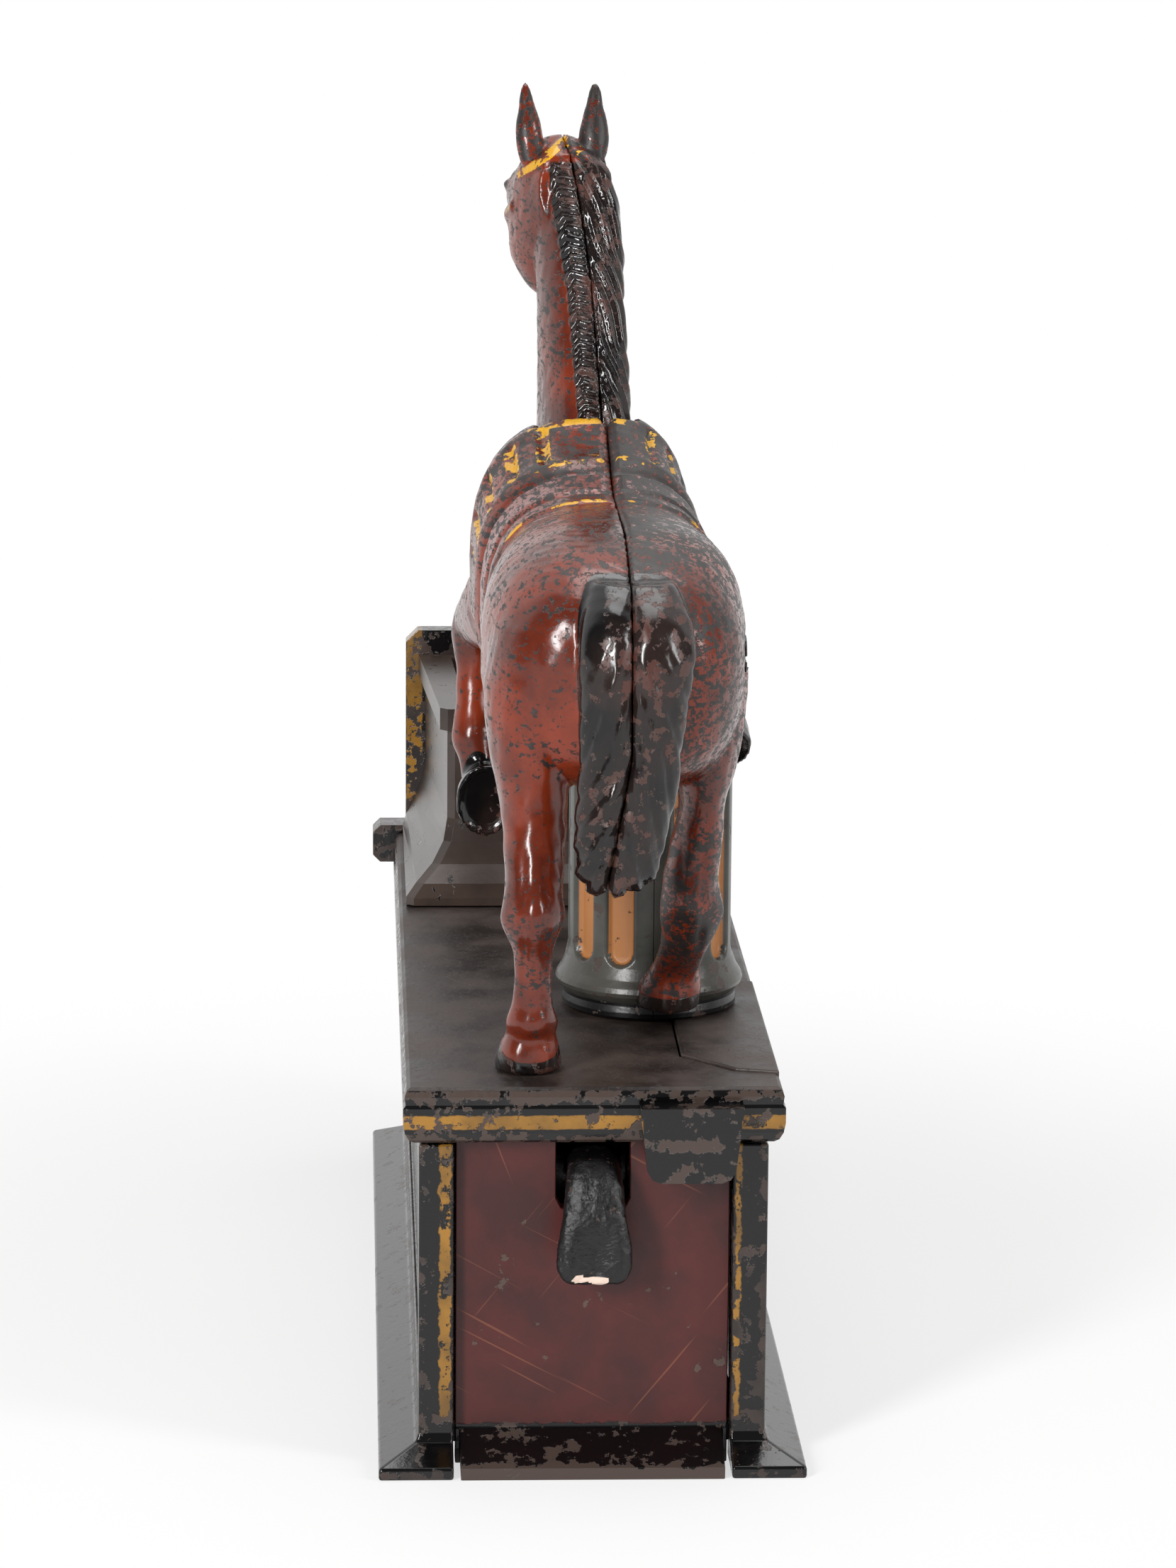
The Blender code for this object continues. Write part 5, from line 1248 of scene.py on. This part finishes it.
def new_paint(name):
    """An empty material: its tree, its shader and its Object coordinates."""
    paint = bpy.data.materials.new(name)
    paint.use_nodes = True
    tree = paint.node_tree
    shader = tree.nodes["Principled BSDF"]
    return paint, tree, shader, tree.nodes.new("ShaderNodeTexCoord").outputs["Object"]


def axes(tree, spot):
    """The x, y and z of a place."""
    return place(tree, "ShaderNodeSeparateXYZ", Vector=spot).outputs


def lay_on(tree, shader, coat, rough, relief, depth, strength):
    """Feeds a shader colour, roughness and a bump whose height is in shares of a depth in metres."""
    raised = place(tree, "ShaderNodeBump", Height=relief, Distance=depth, Strength=strength)
    feed(tree, coat, shader.inputs["Base Color"])
    feed(tree, rough, shader.inputs["Roughness"])
    feed(tree, raised.outputs[0], shader.inputs["Normal"])


def share_of(tree, name):
    """A share marked at the points of a piece."""
    return place(tree, "ShaderNodeAttribute", {"attribute_name": name}).outputs["Fac"]


def horse_enamel(colours):
    """Glossy oxide-red enamel worn to dark iron, with yellow trim and black hair and hooves."""
    paint, tree, shader, spot = new_paint("worn_horse_enamel")
    marks = ("wear", "hair", "hoof", "trim", "strap", "spill")
    wear, hair, hoof, trim, strap, patch = (share_of(tree, name) for name in marks)
    stretch = place(
        tree, "ShaderNodeMapping", Vector=spot, Rotation=(0.5, 0.3, 0.2), Scale=(1.0, 0.55, 1.25))
    cast = cast_skin(tree, spot, 1500.0)
    chips = chipped(tree, stretch.outputs[0], wear, 840.0)
    trim_chips = chipped(tree, spot, plus(tree, wear, 0.04), 330.0)
    specks = chipped(tree, spot, times(tree, wear, 0.85), 1700.0)
    hair_chips = chipped(tree, spot, 0.36, 560.0)
    red = layer(tree, cast["Tone"], colours.oxide_dark, colours.oxide)
    field = layer(tree, times(tree, strap, 0.6), red, STRAP_PINK)
    bare = largest(tree, chips["Bare"], specks["Bare"])
    coat = layer(tree, bare, field, colours.iron)
    coat = layer(tree, times(tree, chips["Rim"], 0.35), coat, RIM_BROWN)
    yellow = times(tree, ramp(tree, trim, 0.35, 0.5), trim_chips["Height"])
    coat = layer(tree, yellow, coat, colours.yellow)
    spill = times(tree, ramp(tree, patch, 0.4, 0.5), trim_chips["Height"])
    coat = layer(tree, spill, coat, colours.cream)
    dark = largest(tree, ramp(tree, hair, 0.35, 0.6), ramp(tree, hoof, 0.4, 0.6))
    soot = layer(tree, cast["Tone"], colours.black, SOOT)
    rust = layer(tree, cast["Tone"], colours.rust, HAIR_RUST)
    coat = layer(tree, dark, coat, layer(tree, hair_chips["Bare"], soot, rust))
    rough = between(tree, bare, 0.17, 0.42)
    rough = between(tree, dark, rough, between(tree, hair_chips["Bare"], 0.08, 0.32))
    rough = plus(tree, rough, times(tree, cast["Tone"], 0.08))
    edge = times(tree, chips["Height"], minus(tree, 1.0, dark))
    edge = plus(tree, edge, times(tree, hair_chips["Height"], dark))
    relief = plus(tree, edge, times(tree, cast["Height"], 0.35))
    relief = plus(tree, relief, times(tree, yellow, 0.8))
    lay_on(tree, shader, coat, rough, relief, 0.00016, 0.4)
    return paint


def worn_edges(tree, parts, edges, wear):
    """Wear that rises within about a millimetre of given levels of x or z."""
    total = wear
    for axis, level in edges:
        value = calc(tree, "ABSOLUTE", parts[axis]) if axis == 0 else parts[axis]
        gap = calc(tree, "ABSOLUTE", minus(tree, value, level * MM))
        total = plus(tree, total, times(tree, ramp(tree, gap, 0.0015, 0.0002), 0.22))
    return total


def black_japan(name, colours, wear, lines=(), edges=(), under=None):
    """Black enamel chipped to brown iron; gold lines are (axis, low, high, fray), edges (axis, level)."""
    paint, tree, shader, spot = new_paint(name)
    cast = cast_skin(tree, spot, 1300.0)
    parts = axes(tree, spot)
    chips = chipped(tree, spot, worn_edges(tree, parts, edges, wear), 420.0)
    fine = chipped(tree, spot, 0.2, 1200.0)
    dull, bright = under or (colours.iron, colours.rust)
    iron = layer(tree, cast["Tone"], dull, bright)
    coat = colours.black
    bronze = layer(tree, cast["Tone"], colours.gold, DULL_GOLD)
    above = ramp(tree, parts[2], 0.0071, 0.0075)
    for axis, low, high, fray in lines:
        line = painted_line(tree, spot, parts[axis], low, high, fray)
        coat = layer(tree, times(tree, line, above), coat, bronze)
    bare = largest(tree, chips["Bare"], fine["Bare"])
    coat = layer(tree, bare, coat, iron)
    relief = plus(tree, chips["Height"], times(tree, cast["Height"], 0.4))
    lay_on(tree, shader, coat, between(tree, bare, 0.12, 0.28), relief, 0.00014, 0.35)
    return paint


def maroon_panel(colours):
    """Maroon enamel, scratched and specked, black and worn along its skirt."""
    paint, tree, shader, spot = new_paint("maroon_panel")
    cast = cast_skin(tree, spot, 1600.0)
    marks = use(tree, scratch_group, "Scratches", Vector=spot)
    height = axes(tree, spot)[2]
    lip = plus(tree, 0.36, times(tree, ramp(tree, height, 0.0026, 0.0012), 0.5))
    chips = chipped(tree, spot, lip, 460.0)
    frayed = plus(tree, height, times(tree, noise(tree, spot, 500.0), 0.0016))
    skirt = ramp(tree, frayed, 0.0068, 0.0064)
    dusk = layer(tree, cast["Tone"], DUSK_MAROON, colours.maroon)
    coat = layer(tree, times(tree, marks["Lines"], 0.42), dusk, SCRATCH_TAN)
    coat = layer(tree, times(tree, marks["Nicks"], 0.8), coat, NICK_GREY)
    black = layer(tree, chips["Bare"], colours.black, colours.rust)
    coat = layer(tree, skirt, coat, black)
    rough = between(tree, marks["Nicks"], 0.4, 0.55)
    rough = between(tree, skirt, rough, between(tree, chips["Bare"], 0.25, 0.5))
    relief = minus(tree, times(tree, cast["Height"], 0.3), marks["Nicks"])
    relief = plus(tree, relief, times(tree, chips["Height"], skirt))
    lay_on(tree, shader, coat, rough, relief, 0.00014, 0.5)
    return paint


def deck_iron(colours):
    """Worn deck: brown-grey iron on top, chipped black with a gold line round the cornice."""
    paint, tree, shader, spot = new_paint("deck_iron")
    cast = cast_skin(tree, spot, 1500.0)
    parts = axes(tree, spot)
    height = parts[2]
    edges = ((2, DECK_TOP - 1.0), (2, DECK_TOP - 7.6))
    chips = chipped(tree, spot, worn_edges(tree, parts, edges, 0.35), 420.0)
    top = (DECK_TOP - 0.3) * MM
    flat = ramp(tree, height, top - 0.0003, top)
    drawn = painted_line(tree, spot, height, DECK_TOP - 5.9, DECK_TOP - 3.9, 0.0005)
    iron = layer(tree, cast["Tone"], colours.iron, colours.deck)
    iron = layer(tree, times(tree, cast["Specks"], 0.25), iron, DECK_SPECK)
    rear = ramp(tree, parts[1], (Y_REAR + 1.0) * MM, (Y_REAR + 0.5) * MM)
    lug = times(tree, ramp(tree, parts[0], 0.0064, 0.0067), ramp(tree, parts[0], 0.0205, 0.0202))
    line = times(tree, drawn, minus(tree, 1.0, times(tree, lug, rear)))
    bronze = layer(tree, cast["Tone"], colours.gold, DULL_GOLD)
    side = layer(tree, line, colours.black, bronze)
    side = layer(tree, chips["Bare"], side, colours.rust)
    side_rough = between(tree, chips["Bare"], 0.13, 0.34)
    flat_rough = between(tree, cast["Tone"], 0.34, 0.52)
    rough = between(tree, flat, side_rough, flat_rough)
    relief = plus(tree, times(tree, cast["Height"], 0.6), chips["Height"])
    lay_on(tree, shader, layer(tree, flat, side, iron), rough, relief, 0.00016, 0.45)
    return paint


def column_paint(colours):
    """Grey-green enamel with copper-bronze flutes and a black bead at the foot."""
    paint, tree, shader, spot = new_paint("column_paint")
    cast = cast_skin(tree, spot, 1400.0)
    chips = chipped(tree, spot, 0.3, 280.0)
    flute = ramp(tree, share_of(tree, "flute"), 0.3, 0.7)
    bead = ramp(tree, axes(tree, spot)[2], (DECK_TOP + 3.1) * MM, (DECK_TOP + 2.7) * MM)
    body = layer(tree, cast["Tone"], colours.moss, PALE_MOSS)
    coat = layer(tree, bead, body, colours.black)
    bronze = layer(tree, cast["Tone"], DULL_COPPER, colours.copper)
    coat = layer(tree, flute, coat, bronze)
    coat = layer(tree, chips["Bare"], coat, colours.rust)
    rough = between(tree, chips["Bare"], between(tree, flute, 0.3, 0.5), 0.5)
    relief = plus(tree, chips["Height"], times(tree, cast["Height"], 0.5))
    lay_on(tree, shader, coat, rough, relief, 0.00014, 0.5)
    return paint


def lever_enamel(colours):
    """Thick gloss black with a hammered skin and chips to pale primer at the tip."""
    paint, tree, shader, spot = new_paint("lever_enamel")
    cast = cast_skin(tree, spot, 800.0)
    fine = chipped(tree, spot, 0.2, 700.0)
    chips = ramp(tree, share_of(tree, "chips"), 0.4, 0.6)
    coat = layer(tree, fine["Bare"], colours.black, colours.rust)
    coat = layer(tree, chips, coat, colours.primer)
    relief = minus(tree, times(tree, cast["Height"], 1.2), chips)
    lay_on(tree, shader, coat, between(tree, chips, 0.13, 0.6), relief, 0.00034, 0.85)
    return paint


def bright_steel(colours):
    """Dulled steel of pins, screws, spring and links, browned in patches."""
    paint, tree, shader, spot = new_paint("dulled_steel")
    cast = cast_skin(tree, spot, 2600.0)
    coat = layer(tree, cast["Tone"], STEEL_BROWN, STEEL_GREY)
    coat = layer(tree, cast["Specks"], coat, colours.rust)
    lay_on(tree, shader, coat, between(tree, cast["Tone"], 0.52, 0.34), cast["Height"], 0.00006, 0.5)
    shader.inputs["Metallic"].default_value = 0.85
    return paint


def dress(thing, paint):
    """Puts one material on a piece."""
    thing.data.materials.clear()
    thing.data.materials.append(paint)


def dress_node(name, paint, width=None):
    """Gives a solid that stays its material and, where it has a width, rounded edges."""
    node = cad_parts[name]
    if width:
        round_edges(node, width)
    dress(node, paint)


def sight(tree):
    """Masks of the rays that see a thing straight, and of those that see it mirrored."""
    rays = place(tree, "ShaderNodeLightPath").outputs
    return rays["Is Camera Ray"], largest(tree, rays["Is Glossy Ray"], rays["Is Transmission Ray"])


def pale_floor():
    """A wide floor, white where it is seen and a little darker near the bank."""
    reach = FLOOR_REACH
    square = [(-reach, -reach, 0), (reach, -reach, 0), (reach, reach, 0), (-reach, reach, 0)]
    floor = put("floor", square, [[0, 1, 2, 3]])
    paint, tree, shader, spot = new_paint("pale_floor")
    shader.inputs["Base Color"].default_value = (0.9, 0.9, 0.9, 1.0)
    shader.inputs["Roughness"].default_value = 0.9
    glow = place(tree, "ShaderNodeEmission", Color=(1.0, 1.0, 1.0, 1.0), Strength=1.0)
    far = place(tree, "ShaderNodeVectorMath", {"operation": "LENGTH"}, Vector=spot).outputs["Value"]
    white = between(tree, ramp(tree, far, 0.07, 0.22), 0.62, 1.0)
    straight, mirrored = sight(tree)
    mixed = place(tree, "ShaderNodeMixShader")
    feed(tree, times(tree, largest(tree, straight, mirrored), white), mixed.inputs[0])
    feed(tree, shader.outputs[0], mixed.inputs[1])
    feed(tree, glow.outputs[0], mixed.inputs[2])
    feed(tree, mixed.outputs[0], tree.nodes["Material Output"].inputs["Surface"])
    dress(floor, paint)
    return floor


def studio():
    """A dim world that is white where it is seen, and in mirrors that face ahead."""
    world = bpy.data.worlds.new("studio")
    world.use_nodes = True
    sky = world.node_tree
    ground = sky.nodes["Background"]
    ground.inputs["Color"].default_value = (1.0, 1.0, 1.0, 1.0)
    way = place(sky, "ShaderNodeTexCoord").outputs["Generated"]
    behind = ramp(sky, axes(sky, way)[1], -0.1, 0.3)
    straight, mirrored = sight(sky)
    direct = largest(sky, straight, times(sky, mirrored, behind))
    feed(sky, between(sky, direct, 0.15, 1.0), ground.inputs["Strength"])
    return world


def soft_light(name, spot, wide, tall, power):
    """A rectangular light aimed at the bank's middle."""
    lamp = bpy.data.lights.new(name, "AREA")
    lamp.shape = "RECTANGLE"
    lamp.size = wide
    lamp.size_y = tall
    lamp.energy = power
    light = bpy.data.objects.new(name, lamp)
    light.location = spot
    aim = np.array(LIGHT_AIM) - np.array(spot)
    flat = math.hypot(aim[0], aim[1])
    light.rotation_euler = (math.atan2(flat, -aim[2]), 0.0, math.atan2(aim[1], aim[0]) - math.pi / 2)
    return light


def photo_view():
    """Camera matrix from its place, pitch, yaw and roll, looking along +Y and down."""
    pitch, yaw, roll = np.radians(CAMERA_TURN)
    ahead = np.array(
        [math.sin(yaw) * math.cos(pitch), math.cos(yaw) * math.cos(pitch), -math.sin(pitch)])
    right = np.array([math.cos(yaw), -math.sin(yaw), 0.0])
    up = np.cross(right, ahead)
    view = Matrix.Identity(4)
    view.col[0][:3] = math.cos(roll) * right + math.sin(roll) * up
    view.col[1][:3] = -math.sin(roll) * right + math.cos(roll) * up
    view.col[2][:3] = -ahead
    view.col[3][:3] = np.array(CAMERA_PLACE) * MM
    return view


class COINBANK_OT_horse(bpy.types.Operator):
    """Build the two body halves with their legs and tail"""

    bl_idname = "coinbank.horse"
    bl_label = "Horse Body"

    def execute(self, context):
        scene = context.scene
        colours = scene.coin_bank_paint
        paint = horse_enamel(colours)
        for side, node in ((-1, "horse_left_half"), (1, "horse_right_half")):
            half = horse_half(side, scene.coin_bank_sizes, scene.coin_bank_wear)
            dress(half, paint)
            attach(half, "frame")
            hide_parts(node)
        dress_node("body_screw", black_japan("screw_japan", colours, 0.6), 0.15 * MM)
        return {"FINISHED"}


class COINBANK_OT_neck(bpy.types.Operator):
    """Build the two halves of the nodding neck and head"""

    bl_idname = "coinbank.neck"
    bl_label = "Neck and Head"

    def execute(self, context):
        scene = context.scene
        paint = bpy.data.materials.get("worn_horse_enamel") or horse_enamel(scene.coin_bank_paint)
        for side, node in ((-1, "neck_left_half"), (1, "neck_right_half")):
            half = neck_half(side, scene.coin_bank_sizes, scene.coin_bank_wear)
            dress(half, paint)
            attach(half, "neck")
            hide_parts(node)
        return {"FINISHED"}


class COINBANK_OT_column(bpy.types.Operator):
    """Build the fluted column's halves and the footplate let into the deck"""

    bl_idname = "coinbank.column"
    bl_label = "Column"

    def execute(self, context):
        colours = context.scene.coin_bank_paint
        paint = column_paint(colours)
        for side, node in ((-1, "horse_left_half"), (1, "horse_right_half")):
            half = column_half(side)
            dress(half, paint)
            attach(half, "frame")
            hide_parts(node)
        plate = footplate()
        dress(plate, deck_iron(colours))
        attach(plate, "frame")
        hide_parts("horse_right_half")
        return {"FINISHED"}


class COINBANK_OT_lever(bpy.types.Operator):
    """Build the thumb lever with its arms"""

    bl_idname = "coinbank.lever"
    bl_label = "Thumb Lever"

    def execute(self, context):
        lever = thumb_lever(context.scene.coin_bank_sizes)
        dress(lever, lever_enamel(context.scene.coin_bank_paint))
        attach(lever, "lever")
        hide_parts("lever")
        return {"FINISHED"}


class COINBANK_OT_base(bpy.types.Operator):
    """Finish the base's sides, end panels, deck and floor"""

    bl_idname = "coinbank.base"
    bl_label = "Base Box"

    def execute(self, context):
        scene = context.scene
        colours = scene.coin_bank_paint
        width = scene.coin_bank_sizes.edge_round
        left_line = (0, -X_BOX + 2.9, -X_BOX + 4.5, 0.0013)
        right_line = (0, X_BOX - 4.5, X_BOX - 3.7, 0.0012)
        post_edges = ((0, X_BOX - 0.2), (0, X_BOX - 5.2), (2, 7.4), (2, 0.4))
        wear = scene.coin_bank_wear.black
        sides = black_japan("side_japan", colours, wear, (left_line, right_line), post_edges)
        dress_node("base_left_side", sides, width)
        dress_node("base_right_side", sides, width)
        panel = maroon_panel(colours)
        dress_node("base_rear_panel", panel, width)
        dress_node("base_front_panel", panel, width)
        dress_node("deck", deck_iron(colours), 0.4 * MM)
        plain = black_japan("floor_japan", colours, 0.5)
        dress_node("bottom_plate", plain, THIN_ROUND)
        dress_node("coin_door", plain, THIN_ROUND)
        return {"FINISHED"}


class COINBANK_OT_manger(bpy.types.Operator):
    """Finish the trough, its flap and the board behind it"""

    bl_idname = "coinbank.manger"
    bl_label = "Manger"

    def execute(self, context):
        colours = context.scene.coin_bank_paint
        width = context.scene.coin_bank_sizes.edge_round
        reach = BOARD_HIGH[0] - 5.6
        lines = ((0, -reach, -reach + 2.6, 0.0008), (0, reach - 2.6, reach, 0.0008))
        dress_node("manger_backboard", black_japan("board_japan", colours, 0.5, lines), width)
        dress_node("manger", black_japan("trough_japan", colours, 0.8, under=TROUGH_IRON), width)
        dress_node("trough_flap", black_japan("flap_japan", colours, 0.3), THIN_ROUND)
        return {"FINISHED"}


class COINBANK_OT_fittings(bpy.types.Operator):
    """Finish the pins, screws, links and spring"""

    bl_idname = "coinbank.fittings"
    bl_label = "Fittings"

    def execute(self, context):
        steel = bright_steel(context.scene.coin_bank_paint)
        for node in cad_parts.values():
            if not node.hide_render and not node.modifiers:
                dress(node, steel)
        return {"FINISHED"}


class COINBANK_OT_stage(bpy.types.Operator):
    """Set the pale floor, the soft light and the camera"""

    bl_idname = "coinbank.stage"
    bl_label = "Stage"

    def execute(self, context):
        scene = context.scene
        floor = pale_floor()
        scene.world = studio()
        for light in LIGHTS:
            scene.collection.objects.link(soft_light(*light))
        lens = bpy.data.cameras.new("camera")
        lens.sensor_width = 36.0
        lens.lens = CAMERA_LENS
        lens.clip_start = 0.01
        lens.clip_end = 20.0
        camera = bpy.data.objects.new("camera", lens)
        camera.matrix_world = photo_view()
        scene.collection.objects.link(camera)
        scene.camera = camera
        scene.view_settings.view_transform = "Standard"
        return {"FINISHED"}


class COINBANK_PT_panel(bpy.types.Panel):
    """Sidebar list of the bank's pieces"""

    bl_idname = "COINBANK_PT_panel"
    bl_label = "Coin Bank"
    bl_space_type = "VIEW_3D"
    bl_region_type = "UI"
    bl_category = "Coin Bank"

    def draw(self, context):
        for kind in OPERATORS:
            self.layout.operator(kind.bl_idname)


OPERATORS = (
    COINBANK_OT_horse,
    COINBANK_OT_neck,
    COINBANK_OT_column,
    COINBANK_OT_lever,
    COINBANK_OT_base,
    COINBANK_OT_manger,
    COINBANK_OT_fittings,
    COINBANK_OT_stage,
)
GROUPS = (CoinBankSizes, CoinBankPaint, CoinBankWear)


def register():
    """Adds the bank's settings, buttons and sidebar."""
    for kind in (*GROUPS, *OPERATORS, COINBANK_PT_panel):
        bpy.utils.register_class(kind)
    bpy.types.Scene.coin_bank_sizes = bpy.props.PointerProperty(type=CoinBankSizes)
    bpy.types.Scene.coin_bank_paint = bpy.props.PointerProperty(type=CoinBankPaint)
    bpy.types.Scene.coin_bank_wear = bpy.props.PointerProperty(type=CoinBankWear)


def unregister():
    """Takes them away again."""
    del bpy.types.Scene.coin_bank_wear
    del bpy.types.Scene.coin_bank_paint
    del bpy.types.Scene.coin_bank_sizes
    for kind in reversed((*GROUPS, *OPERATORS, COINBANK_PT_panel)):
        bpy.utils.unregister_class(kind)


def main():
    """Builds every piece in order."""
    register()
    for kind in OPERATORS:
        family, action = kind.bl_idname.split(".")
        getattr(getattr(bpy.ops, family), action)()


if __name__ == "__main__":
    main()
